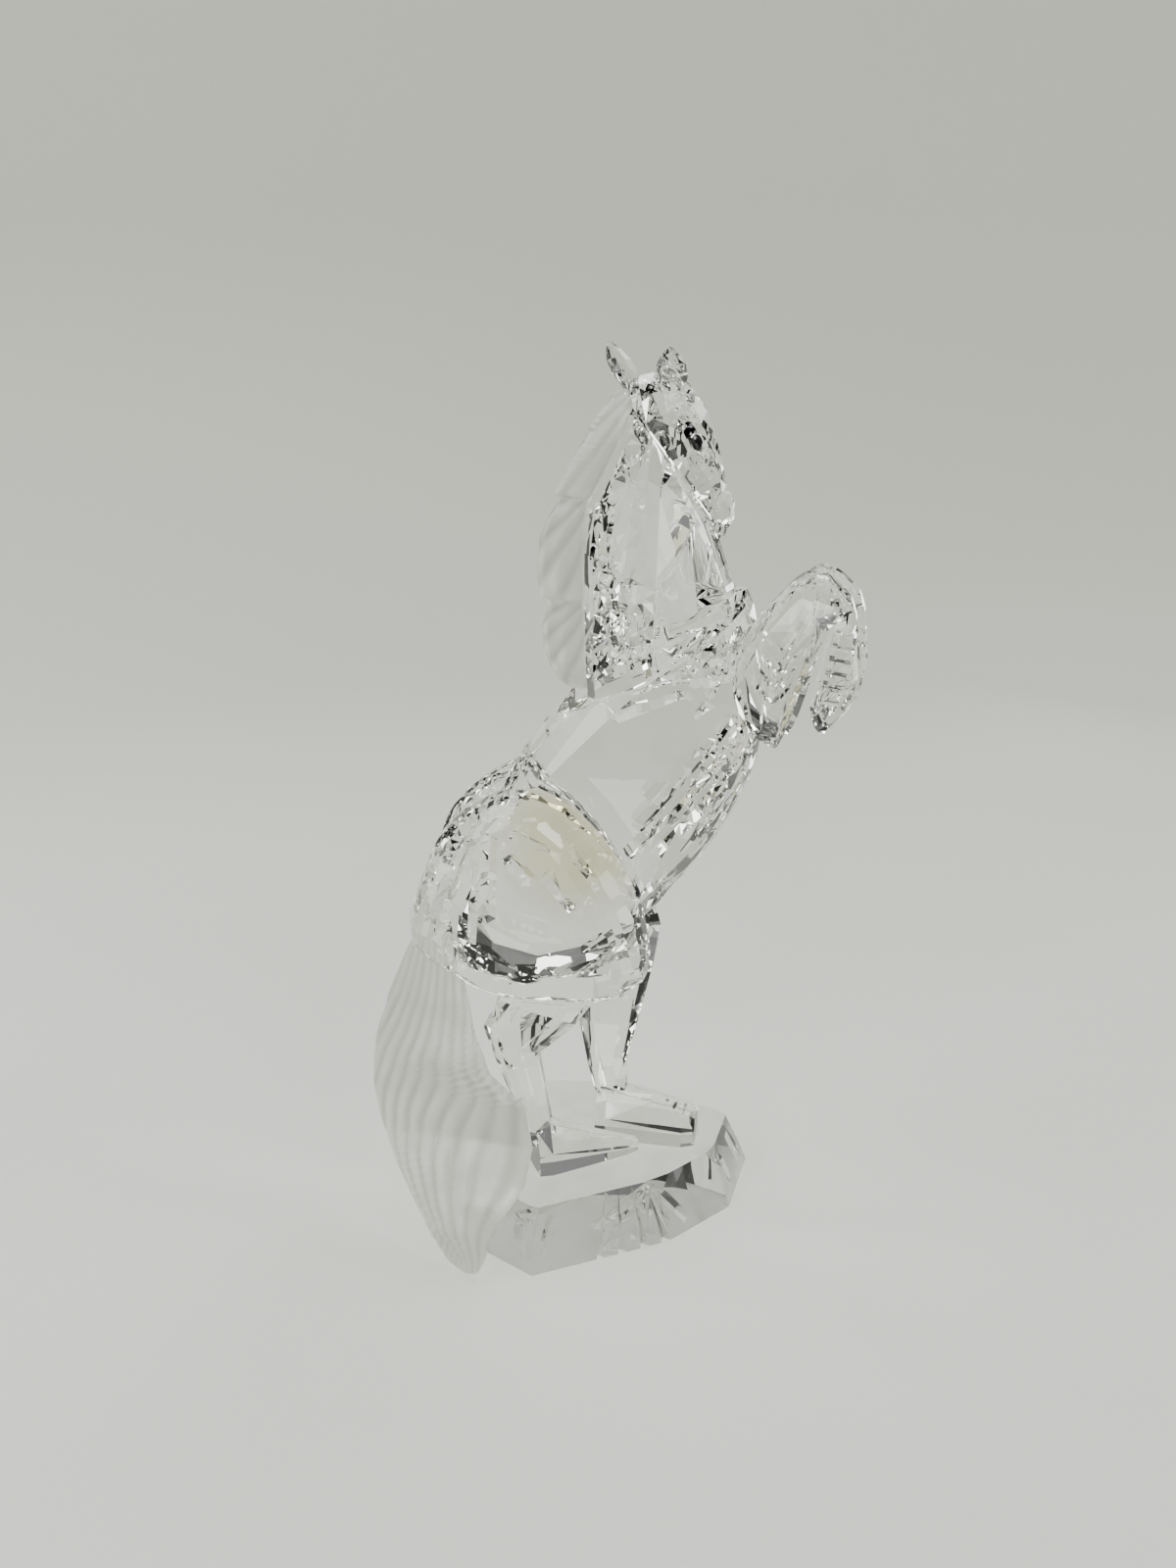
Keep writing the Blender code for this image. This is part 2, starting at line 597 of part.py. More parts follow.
def head_place(forward, sideways, height):
    """A point of the turned head: forward along the face, sideways to its own left."""
    turn = Matrix.Rotation(HEAD_TURN, 3, "Z")
    pivot = place(*HEAD_PIVOT, DRAWN_BASE_TOP)
    flat = turn @ Vector((forward * STEP, sideways * STEP, 0.0))
    return Vector((pivot.x + flat.x, pivot.y + flat.y, place(0.0, 0.0, height).z))


def ear(side, allowance=0.0):
    """A leaf-shaped ear that leans out to its side."""
    root_forward, tip_forward, half_widths = EAR_SHAPES[side]
    half_head = 0.5 * HEAD_WIDTH / STEP
    height = HEAD_STATIONS[0][0][1] - EAR_SINK
    root = head_place(root_forward, side * EAR_ROOT_SPREAD * half_head, height)
    tip = head_place(tip_forward, side * EAR_TIP_SPREAD * half_head, height) + Z_AXIS * EAR_LENGTH
    turn = Matrix.Rotation(HEAD_TURN, 3, "Z")
    forward = turn @ Vector((1.0, 0.0, 0.0))
    across = turn @ Vector((0.0, 1.0, 0.0))
    rings = []
    for share, wide, deep in zip((0.0, 0.35, 0.62, 0.86, 1.0), half_widths, (1.0, 0.93, 0.71, 0.43, 0.21)):
        rings.append(ring(root.lerp(tip, share), forward * (wide * STEP + allowance),
                          across * (0.5 * EAR_THICKNESS * deep + allowance), 8))
    return loft(rings)


def mouth():
    """The line between the lips, cut through the muzzle from the front."""
    first, last = MOUTH
    start, end = head_place(first[0], 0.0, first[1]), head_place(last[0], 0.0, last[1])
    across = Matrix.Rotation(HEAD_TURN, 3, "Z") @ Vector((0.0, HEAD_WIDTH, 0.0))
    upright = (end - start).cross(across).normalized()
    rings = []
    for point, half in ((start, 0.5 * MOUTH_GAP), (end, MOUTH_GAP)):
        rings.append([point - across, point - across + upright * half, point + across + upright * half,
                      point + across])
    return loft(rings)


def cheek(side):
    """The round jaw muscle, a flat disc on the side of the head."""
    forward, height, radius = CHEEK
    turn = Matrix.Rotation(HEAD_TURN, 3, "Z")
    ahead, out = turn @ Vector((1.0, 0.0, 0.0)), turn @ Vector((0.0, float(side), 0.0))
    rings = []
    for depth, share in ((0.0, 1.0), (0.62, 1.0), (0.92, 0.72)):
        centre = head_place(forward, 0.0, height) + out * (0.5 * HEAD_WIDTH * depth)
        rings.append(ring(centre, ahead * (radius * share * STEP), Z_AXIS * (radius * share * STEP), 12))
    return loft(rings)


def eye_planes(side, allowance):
    """A bead set half way into the side of the head, as a ball of rings."""
    turn = Matrix.Rotation(HEAD_TURN, 3, "Z")
    out = turn @ Vector((0.0, float(side), 0.0))
    centre = head_place(EYE_PLACE[0], side * (0.5 * HEAD_WIDTH / STEP - 0.5), EYE_PLACE[1])
    up = (Z_AXIS + (turn @ Vector((-0.25, 0.0, 0.0)))).normalized()
    ahead = up.cross(out).normalized()
    rings = []
    count = 7
    for k in range(1, count):
        angle = math.pi * k / count
        wide = math.sin(angle)
        rings.append(ring(centre + out * (-math.cos(angle) * (0.5 * EYE_WIDTH + allowance)),
                          ahead * (wide * (0.5 * EYE_WIDTH + allowance)),
                          up * (wide * (0.5 * EYE_LENGTH + allowance)), 12))
    return loft(rings)


def skull(allowance=0.0):
    """The long body of the head from the poll to the lips, swollen by the allowance."""
    rings = []
    for index, (front, back, share) in enumerate(HEAD_STATIONS):
        start, end = head_place(front[0], 0.0, front[1]), head_place(back[0], 0.0, back[1])
        along = (start - end) * 0.5
        half_width = 0.5 * HEAD_WIDTH * share + allowance
        across = Matrix.Rotation(HEAD_TURN, 3, "Z") @ Vector((0.0, half_width, 0.0))
        rise = Z_AXIS * (2.0 * allowance if index == 0 else 0.0)
        swollen = along * (1.0 + allowance / along.length)
        rings.append(ring((start + end) * 0.5 + rise, swollen, across, 10, 0.0))
    return loft(rings)


def make_head():
    """The head: face and muzzle, both cheeks, both ears, a mouth line and the seats of the eyes."""
    head = as_object("head", skull())
    for side in (RIGHT, LEFT):
        combine(head, cheek(side), "UNION")
        combine(head, ear(side), "UNION")
    combine(head, grind(neck_planes(), GLUE_GAP), "DIFFERENCE")
    combine(head, mouth(), "DIFFERENCE")
    for side in (RIGHT, LEFT):
        combine(head, eye_planes(side, GLUE_GAP), "DIFFERENCE")
    return finish(head, CLEAR)


def make_base():
    """The foot: an irregular block whose sides run outward on their way down."""
    planes = [Plane(Z_AXIS, BASE_HEIGHT), Plane(-Z_AXIS, 0.0)]
    corners = [Vector((x * STEP, y * STEP, BASE_HEIGHT)) for x, y in BASE_OUTLINE]
    for first, second in zip(corners, corners[1:] + corners[:1]):
        run = (second - first).normalized()
        outward = run.cross(Z_AXIS)
        planes.append(Plane.through(first, outward * BASE_HEIGHT + Z_AXIS * BASE_FLARE))
    for corner, before, after in zip(corners, corners[-1:] + corners[:-1], corners[1:] + corners[:1]):
        outward = ((corner - before).normalized() - (after - corner).normalized()).normalized()
        point = corner - outward * 0.5 * MM
        planes.append(Plane.through(point, outward * BASE_HEIGHT + Z_AXIS * (1.5 * BASE_FLARE)))
    base = as_object("base", grind(planes))
    for flute in FLUTES:
        combine(base, flute_wedge(corners[0], corners[1], *flute), "DIFFERENCE")
    return finish(base, CLEAR)


def flute_wedge(first, second, share, fan, width):
    """A V-shaped flute in the foot's near side, from its upper edge down to the ground."""
    run = second - first
    outward = run.cross(Z_AXIS).normalized()
    along = run.normalized()
    top = first + run * share
    low = top + run * fan + outward * BASE_FLARE - Z_AXIS * BASE_HEIGHT
    slope = low - top
    rings = []
    for step, depth in ((-0.2, -0.1), (1.2, 0.62)):
        centre = top + slope * step
        half = along * (0.5 * width * STEP)
        rings.append([centre + half * (0.5 + step) + outward * STEP * 2.0,
                      centre - half * (0.5 + step) + outward * STEP * 2.0,
                      centre - outward * (depth * width * STEP)])
    return loft(rings)


def make_eye(name, side):
    """A black bead."""
    return finish(as_object(name, eye_planes(side, 0.0)), BLACK, ROUND)


def main():
    for item in list(bpy.data.objects):
        bpy.data.objects.remove(item)
    pieces = [
        make_base(),
        make_torso(),
        make_neck(),
        make_hind_leg("right_hind_leg", RIGHT, RIGHT_LEG_STATIONS, RIGHT_HOOF),
        make_hind_leg("left_hind_leg", LEFT, LEFT_LEG_STATIONS, LEFT_HOOF),
        make_foreleg("right_foreleg", RIGHT),
        make_foreleg("left_foreleg", LEFT),
        make_mane(),
        make_tail(),
        make_head(),
        make_eye("right_eye", RIGHT),
        make_eye("left_eye", LEFT),
    ]
    figurine = bpy.data.objects.new("crystal_horse", None)
    bpy.context.scene.collection.objects.link(figurine)
    for piece in pieces:
        piece.parent = figurine


main()
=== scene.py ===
"""Looks of the crystal horse figurine.

Glued pieces of cut glass, with a satin mane and tail, in a pale studio.
"""

import logging
import math
from dataclasses import dataclass, field
from enum import IntEnum
from functools import cache

import bmesh
import bpy
from bmesh.types import BMEdge, BMesh, BMFace, BMVert
from bpy.types import ID, Material, Node, NodeSocket, NodeTree, Object
from mathutils import Matrix, Vector, noise
from mathutils.bvhtree import BVHTree


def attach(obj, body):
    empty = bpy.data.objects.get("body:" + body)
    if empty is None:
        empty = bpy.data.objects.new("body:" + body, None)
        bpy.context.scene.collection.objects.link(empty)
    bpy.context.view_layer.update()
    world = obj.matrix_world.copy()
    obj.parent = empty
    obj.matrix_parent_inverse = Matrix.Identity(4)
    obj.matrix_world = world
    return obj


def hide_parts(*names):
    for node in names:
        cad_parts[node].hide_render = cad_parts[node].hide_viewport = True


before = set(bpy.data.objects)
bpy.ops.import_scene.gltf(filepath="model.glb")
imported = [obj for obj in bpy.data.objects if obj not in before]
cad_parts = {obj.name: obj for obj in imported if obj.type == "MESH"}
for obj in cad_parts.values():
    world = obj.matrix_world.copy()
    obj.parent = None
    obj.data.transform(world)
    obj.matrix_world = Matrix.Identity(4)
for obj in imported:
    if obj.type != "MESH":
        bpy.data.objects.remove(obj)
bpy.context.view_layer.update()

LOG = logging.getLogger("crystal_horse")
MM = 0.001
BODY = "root"

# Gaps and allowances in metres.
GLUE_GAP = 0.3 * MM
JOINT_REACH = GLUE_GAP + 0.12 * MM
JOINT_MARGIN = 0.05 * MM
SEAM = 0.01 * MM
TOUCH = 0.002 * MM
WELD = 2e-6
RIM_WELD = 8e-6
SLIVER = 1e-6
ON_PLANE = 1e-7
FLUSH = 2e-5
SAMPLE_PITCH = 1.2 * MM
GROOVE_REACH = 1.2 * MM

SMALLEST_FACET = 1e-9
SAME_WAY = 0.99999
FLAT_ANGLE = math.radians(0.4)
SAMPLE_ROUNDS = 5
REFINE_ROUNDS = 7
CARD_KINDS = 7
HUNG_KINDS = 6
WHITE_KINDS = 2

Pair = tuple[float, float]
Triple = tuple[float, float, float]
Path = tuple[Vector, ...]
Rows = tuple[Path, ...]
Patches = tuple[tuple[Vector, float], ...]


def spot(x: float, y: float, z: float) -> Vector:
    """A place on the figurine, given in millimetres."""
    return Vector((x, y, z)) * MM


def path(*places: Triple) -> Path:
    """A row of places on the figurine, given in millimetres."""
    return tuple(spot(*place) for place in places)


def patches(*rounds: tuple[float, float, float, float]) -> Patches:
    """Round patches on the figurine, each given in millimetres by its middle and radius."""
    return tuple((spot(x, y, z), radius * MM) for x, y, z, radius in rounds)


def mirrored(row: Path) -> Path:
    """The same places on the figurine's other side."""
    return tuple(Vector((place.x, -place.y, place.z)) for place in row)


def show(name: str, data: ID) -> Object:
    """Puts a new object into the scene.

    Args:
        name: The object's name.
        data: Its mesh, lamp or camera.

    Returns:
        The object.
    """
    made = bpy.data.objects.new(name, data)
    bpy.context.scene.collection.objects.link(made)
    return made


def show_mesh(name: str, bm: BMesh) -> Object:
    """Puts a copy of a bmesh into the scene.

    Args:
        name: The name of the object and of its mesh.
        bm: The bmesh, which stays as it is.

    Returns:
        The object.
    """
    mesh = bpy.data.meshes.new(name)
    bm.to_mesh(mesh)
    return show(name, mesh)


class FinishAndPaintedLight(IntEnum):
    """The finishes of a piece and the painted prism light of its bevels, in the order of its material slots.
    """

    CLEAR = 0
    GLUED = 1
    SATIN = 2
    # The bevels' glass, tinted blue and warm as painted prism light.
    PRISM_LIGHT = 3


@dataclass
class Wiring:
    """Adds and links the nodes of one tree."""

    tree: NodeTree

    def fill(self, node: Node, values: dict[str | int, object]) -> None:
        """Sets a node's inputs, or links them where a value is another node's output.

        Args:
            node: The node.
            values: The values by socket name or number.
        """
        for socket, value in values.items():
            if isinstance(value, NodeSocket):
                self.tree.links.new(value, node.inputs[socket])
            else:
                node.inputs[socket].default_value = value

    def add(self, kind: str, values: dict[str | int, object] | None = None, **settings: object) -> Node:
        """Adds one node.

        Args:
            kind: The node's type, without its ShaderNode prefix.
            values: Values or sources of its inputs.
            **settings: Attributes of the node itself.

        Returns:
            The new node.
        """
        node = self.tree.nodes.new(kind if kind.startswith("Node") else f"ShaderNode{kind}")
        for attribute, value in settings.items():
            setattr(node, attribute, value)
        self.fill(node, values or {})
        return node

    def blend(self, factor: NodeSocket, first: NodeSocket, second: NodeSocket | Triple) -> NodeSocket:
        """Mixes two colours.

        Args:
            factor: The output that drives the mix.
            first: The colour at nought.
            second: The colour at one.

        Returns:
            The mixed colour's output.
        """
        mix = self.add("Mix", data_type="RGBA")
        ends = [number for number, socket in enumerate(mix.inputs) if socket.type == "RGBA"]
        if not isinstance(second, NodeSocket):
            second = (*second, 1.0)
        self.fill(mix, {"Factor": factor, ends[0]: first, ends[1]: second})
        return next(socket for socket in mix.outputs if socket.type == "RGBA")


@cache
def cloud_and_grain() -> NodeTree:
    """Builds the group that every material shares, once.

    Returns:
        A group whose colour drifts between two, with a slow cloud and a fine grain.
    """
    group = bpy.data.node_groups.new("cloud_and_grain", "ShaderNodeTree")
    sockets = {"INPUT": {"First": "Color", "Second": "Color", "Cloud Scale": "Float", "Grain Scale": "Float"},
               "OUTPUT": {"Colour": "Color", "Cloud": "Float", "Grain": "Float"}}
    for way, kinds in sockets.items():
        for name, kind in kinds.items():
            group.interface.new_socket(name, in_out=way, socket_type=f"NodeSocket{kind}")
    wiring = Wiring(group)
    given, place = wiring.add("NodeGroupInput").outputs, wiring.add("TexCoord").outputs["Object"]
    cloud = wiring.add("TexNoise", {"Detail": 2.0, "Vector": place, "Scale": given["Cloud Scale"]})
    grain = wiring.add("TexNoise", {"Detail": 4.0, "Vector": place, "Scale": given["Grain Scale"]})
    spread = wiring.add("MapRange", {"From Min": 0.38, "From Max": 0.62, "Value": cloud.outputs["Fac"]})
    share = spread.outputs["Result"]
    wiring.add("NodeGroupOutput", {"Colour": wiring.blend(share, given["First"], given["Second"]),
                                   "Cloud": share, "Grain": grain.outputs["Fac"]})
    return group


def start_material(name: str) -> tuple[Material, Wiring, Node]:
    """Starts a material.

    Args:
        name: The material's name.

    Returns:
        The material, the wiring of its nodes and its Principled shader.
    """
    material = bpy.data.materials.new(name)
    material.use_nodes = True
    return material, Wiring(material.node_tree), material.node_tree.nodes["Principled BSDF"]


@dataclass(frozen=True)
class Glass:
    """A glass whose colour, roughness and surface drift a little from place to place."""

    name: str
    first: Triple
    second: Triple
    cloud_scale: float
    grain_scale: float
    grain_depth: float
    roughness: Pair = (0.0, 0.0)
    ior: float = 1.54
    transmission: float = 1.0
    lamplight: float = 0.78
    # A colour of painted shade for the grooves of a satin piece, if any.
    groove_shade: Triple | None = None
    stain: Triple | None = None
    stain_place: Triple = (0.0, 0.0, 0.0)
    stain_radius: float = 14.5 * MM
    stain_core: float = 0.45

    @cache
    def material(self) -> Material:
        """Builds the material, once.

        Returns:
            The Blender material with one Principled shader.
        """
        material, wiring, shader = start_material(self.name)
        wiring.fill(shader, {"Metallic": 0.0, "IOR": self.ior, "Transmission Weight": self.transmission,
                             "Roughness": self.roughness[0]})
        drift = wiring.add("Group", {
            "First": (*self.first, 1.0), "Second": (*self.second, 1.0), "Cloud Scale": self.cloud_scale,
            "Grain Scale": self.grain_scale}, node_tree=cloud_and_grain()).outputs
        colour = drift["Colour"]
        # Painted shade: the colour darkens in the strands' grooves, where shade falls.
        if self.groove_shade:
            groove_shade_mask = wiring.add("Attribute", attribute_name="groove_shade")
            colour = wiring.blend(groove_shade_mask.outputs["Fac"], colour, self.groove_shade)
        if self.stain:
            place = wiring.add("TexCoord").outputs["Object"]
            away = wiring.add("VectorMath", {0: place, 1: self.stain_place}, operation="DISTANCE")
            share = wiring.add("MapRange", {"Value": away.outputs["Value"], "From Min": self.stain_radius,
                                            "From Max": self.stain_core * self.stain_radius})
            colour = wiring.blend(share.outputs["Result"], colour, self.stain)
        wiring.fill(shader, {"Base Color": colour})
        low, high = self.roughness
        if high > low:
            rough = wiring.add("MapRange", {"Value": drift["Cloud"], "To Min": low, "To Max": high})
            wiring.fill(shader, {"Roughness": rough.outputs["Result"]})
        if self.grain_depth > 0.0:
            bump = wiring.add("Bump", {"Strength": 1.0, "Distance": self.grain_depth,
                                       "Height": drift["Grain"]})
            wiring.fill(shader, {"Normal": bump.outputs["Normal"]})
        if self.transmission > 0.0:
            # Lamps shine through the glass, for the pale shadow of real crystal.
            pane = wiring.add("BsdfTransparent", {"Color": (*(self.lamplight,) * 3, 1.0)})
            mix = wiring.add("MixShader", {"Fac": wiring.add("LightPath").outputs["Is Shadow Ray"],
                                           1: shader.outputs["BSDF"], 2: pane.outputs["BSDF"]})
            output = next(node for node in wiring.tree.nodes if node.type == "OUTPUT_MATERIAL")
            wiring.fill(output, {"Surface": mix.outputs["Shader"]})
        return material


CUT_CRYSTAL = Glass("cut_crystal", (0.955, 0.962, 0.940), (0.930, 0.938, 0.912), 90.0, 130.0, 0.004 * MM)
# The foot's glass is darker than the horse's cut crystal, as painted shade.
SHADED_FOOT_CRYSTAL = Glass("shaded_foot_crystal", (0.76, 0.77, 0.75), (0.68, 0.69, 0.67), 80.0, 130.0, 0.004 * MM)
CLEAR_GLUE = Glass("clear_glue", (0.985, 0.987, 0.98), (0.96, 0.96, 0.94), 70.0, 160.0, 0.0, ior=1.0,
                   lamplight=1.0, stain=(0.86, 0.84, 0.62), stain_place=(-0.003, -0.0118, 0.076))
# Satin glass, whose grooves get painted shade.
SATIN_CRYSTAL = Glass("satin_crystal", (0.62, 0.625, 0.578), (0.55, 0.555, 0.508), 160.0, 2600.0, 0.004 * MM,
                      roughness=(0.34, 0.46), ior=1.5, transmission=0.48, groove_shade=(0.43, 0.435, 0.395))
# Blue and warm tints on the bevels, as painted prism light.
PAINTED_PRISM_LIGHT = Glass("painted_prism_light", (0.80, 0.88, 1.0), (1.0, 0.93, 0.82), 260.0, 400.0, 0.003 * MM)
JET_BEAD = Glass("jet_bead", (0.004, 0.004, 0.005), (0.010, 0.009, 0.010), 900.0, 1800.0, 0.001 * MM,
                 roughness=(0.04, 0.09), transmission=0.0)
SLOTS = (CLEAR_GLUE, SATIN_CRYSTAL, PAINTED_PRISM_LIGHT)


@dataclass(frozen=True)
class Tool:
    """A cutter, by the width and the depth of its marks in metres."""

    width: float
    depth: float


@dataclass(frozen=True)
class Plane:
    """A flat face that closes a solid on its inner side."""

    normal: Vector
    reach: float

    def outside(self, point: Vector) -> float:
        """How far a point lies outside the plane, in metres."""
        return self.normal.dot(point) - self.reach

    def matches(self, other: "Plane") -> bool:
        """Whether both planes are the same one."""
        return self.normal.dot(other.normal) > SAME_WAY and abs(self.reach - other.reach) < FLUSH


def merged_copy(node: str) -> BMesh:
    """Copies a node's mesh with its loose triangles merged into whole facets.

    Args:
        node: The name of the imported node.

    Returns:
        A new bmesh that the caller frees.
    """
    bm = bmesh.new()
    bm.from_mesh(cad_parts[node].data)
    bmesh.ops.remove_doubles(bm, verts=bm.verts[:], dist=WELD)
    bmesh.ops.dissolve_degenerate(bm, edges=bm.edges[:], dist=SLIVER)
    bmesh.ops.dissolve_limit(bm, angle_limit=FLAT_ANGLE, verts=bm.verts[:], edges=bm.edges[:], delimit=set())
    return bm


def hull_planes(bm: BMesh) -> list[Plane]:
    """Reads the planes of a convex solid's facets, each once.

    Args:
        bm: The solid's mesh.

    Returns:
        One plane for each distinct facet.
    """
    planes: list[Plane] = []
    for face in bm.faces:
        found = Plane(face.normal.copy(), face.normal.dot(face.calc_center_median()))
        if face.calc_area() > SMALLEST_FACET and not any(known.matches(found) for known in planes):
            planes.append(found)
    return planes


def near_faces(bm: BMesh, other: BMesh, distance: float) -> list[BMFace]:
    """Finds the faces of one solid that lie close to another one.

    Args:
        bm: The solid whose faces are wanted.
        other: Its neighbour.
        distance: The largest gap in metres.

    Returns:
        The faces of bm that some point of the neighbour is near.
    """
    sampled = other.copy()
    bmesh.ops.triangulate(sampled, faces=sampled.faces[:])
    for _ in range(SAMPLE_ROUNDS):
        long_edges = [edge for edge in sampled.edges if edge.calc_length() > SAMPLE_PITCH]
        if not long_edges:
            break
        bmesh.ops.subdivide_edges(sampled, edges=long_edges, cuts=1)
        bmesh.ops.triangulate(sampled, faces=[face for face in sampled.faces if len(face.verts) > 3])
    bm.faces.ensure_lookup_table()
    tree = BVHTree.FromBMesh(bm)
    triangles = {}
    points = [vert.co.copy() for vert in sampled.verts]
    points += [face.calc_center_median() for face in sampled.faces]
    sampled.free()
    for point in points:
        _, _, index, _ = tree.find_nearest(point, distance)
        if index is not None:
            triangles[index] = bm.faces[index]
    return list(triangles.values())


def edge_planes(patch: BMFace) -> list[Plane]:
    """Stands a plane on each outer edge of a flat patch, square to it.

    Args:
        patch: The flat face.

    Returns:
        The planes that have the whole patch on their inner side.
    """
    planes: list[Plane] = []
    for loop in patch.loops:
        along = loop.link_loop_next.vert.co - loop.vert.co
        if along.length > SLIVER:
            outward = along.cross(patch.normal).normalized()
            side = Plane(outward, outward.dot(loop.vert.co))
            if all(side.outside(vert.co) < FLUSH for vert in patch.verts):
                planes.append(side)
    return planes


def slice_faces(bm: BMesh, faces: list[BMFace], place: Vector, normal: Vector) -> list[BMFace]:
    """Cuts faces along a plane and keeps both sides.

    Args:
        bm: The mesh that holds the faces.
        faces: The faces to cut.
        place: A point on the plane.
        normal: The direction that the plane faces.

    Returns:
        The faces on both sides of the cut.
    """
    edges = dict.fromkeys(edge for face in faces for edge in face.edges)
    verts = dict.fromkeys(vert for face in faces for vert in face.verts)
    cut = bmesh.ops.bisect_plane(bm, geom=faces + list(edges) + list(verts), dist=ON_PLANE,
                                 plane_co=place, plane_no=normal)
    return [item for item in cut["geom"] if isinstance(item, BMFace) and item.is_valid]


def clip_faces(bm: BMesh, faces: list[BMFace], planes: list[Plane], allowance: float) -> list[BMFace]:
    """Cuts faces along planes and keeps the parts that lie inside all of them.

    Args:
        bm: The mesh that holds the faces.
        faces: The faces to cut.
        planes: The planes that close in the wanted region.
        allowance: How far outside a plane still counts as inside, in metres.

    Returns:
        The faces inside every plane. The parts outside stay in the mesh.
    """
    inside = [face for face in faces if face.is_valid]
    for plane in planes:
        straddling = []
        kept = []
        for face in inside:
            depths = [plane.outside(vert.co) - allowance for vert in face.verts]
            if min(depths) < -ON_PLANE and max(depths) > ON_PLANE:
                straddling.append(face)
            elif max(depths) <= ON_PLANE:
                kept.append(face)
        if straddling:
            cut = slice_faces(bm, straddling, plane.normal * (plane.reach + allowance), plane.normal)
            kept += [face for face in cut if plane.outside(face.calc_center_median()) - allowance < 0.0]
        inside = kept
    return inside


def is_free(element: BMEdge | BMVert) -> bool:
    """Whether no face at an edge or a point lies in a joint."""
    glued = FinishAndPaintedLight.GLUED
    return all(face.material_index != glued for face in element.link_faces)


def edge_gap(edge: BMEdge, point: Vector) -> float:
    """Measures how far a point lies from an edge.

    Args:
        edge: The edge.
        point: The point.

    Returns:
        The shortest distance in metres.
    """
    start, end = (vert.co for vert in edge.verts)
    run = end - start
    share = min(max((point - start).dot(run) / max(run.length_squared, 1e-12), 0.0), 1.0)
    return (start + run * share - point).length


def reaches_into(face: BMFace, middle: Vector, room: Patches) -> bool:
    """Whether a face may reach into an oblong room: directions, each with half the room's size along it."""
    extents = [(half, [direction.dot(vert.co - middle) for vert in face.verts]) for direction, half in room]
    return all(min(extent) <= half and max(extent) >= -half for half, extent in extents)


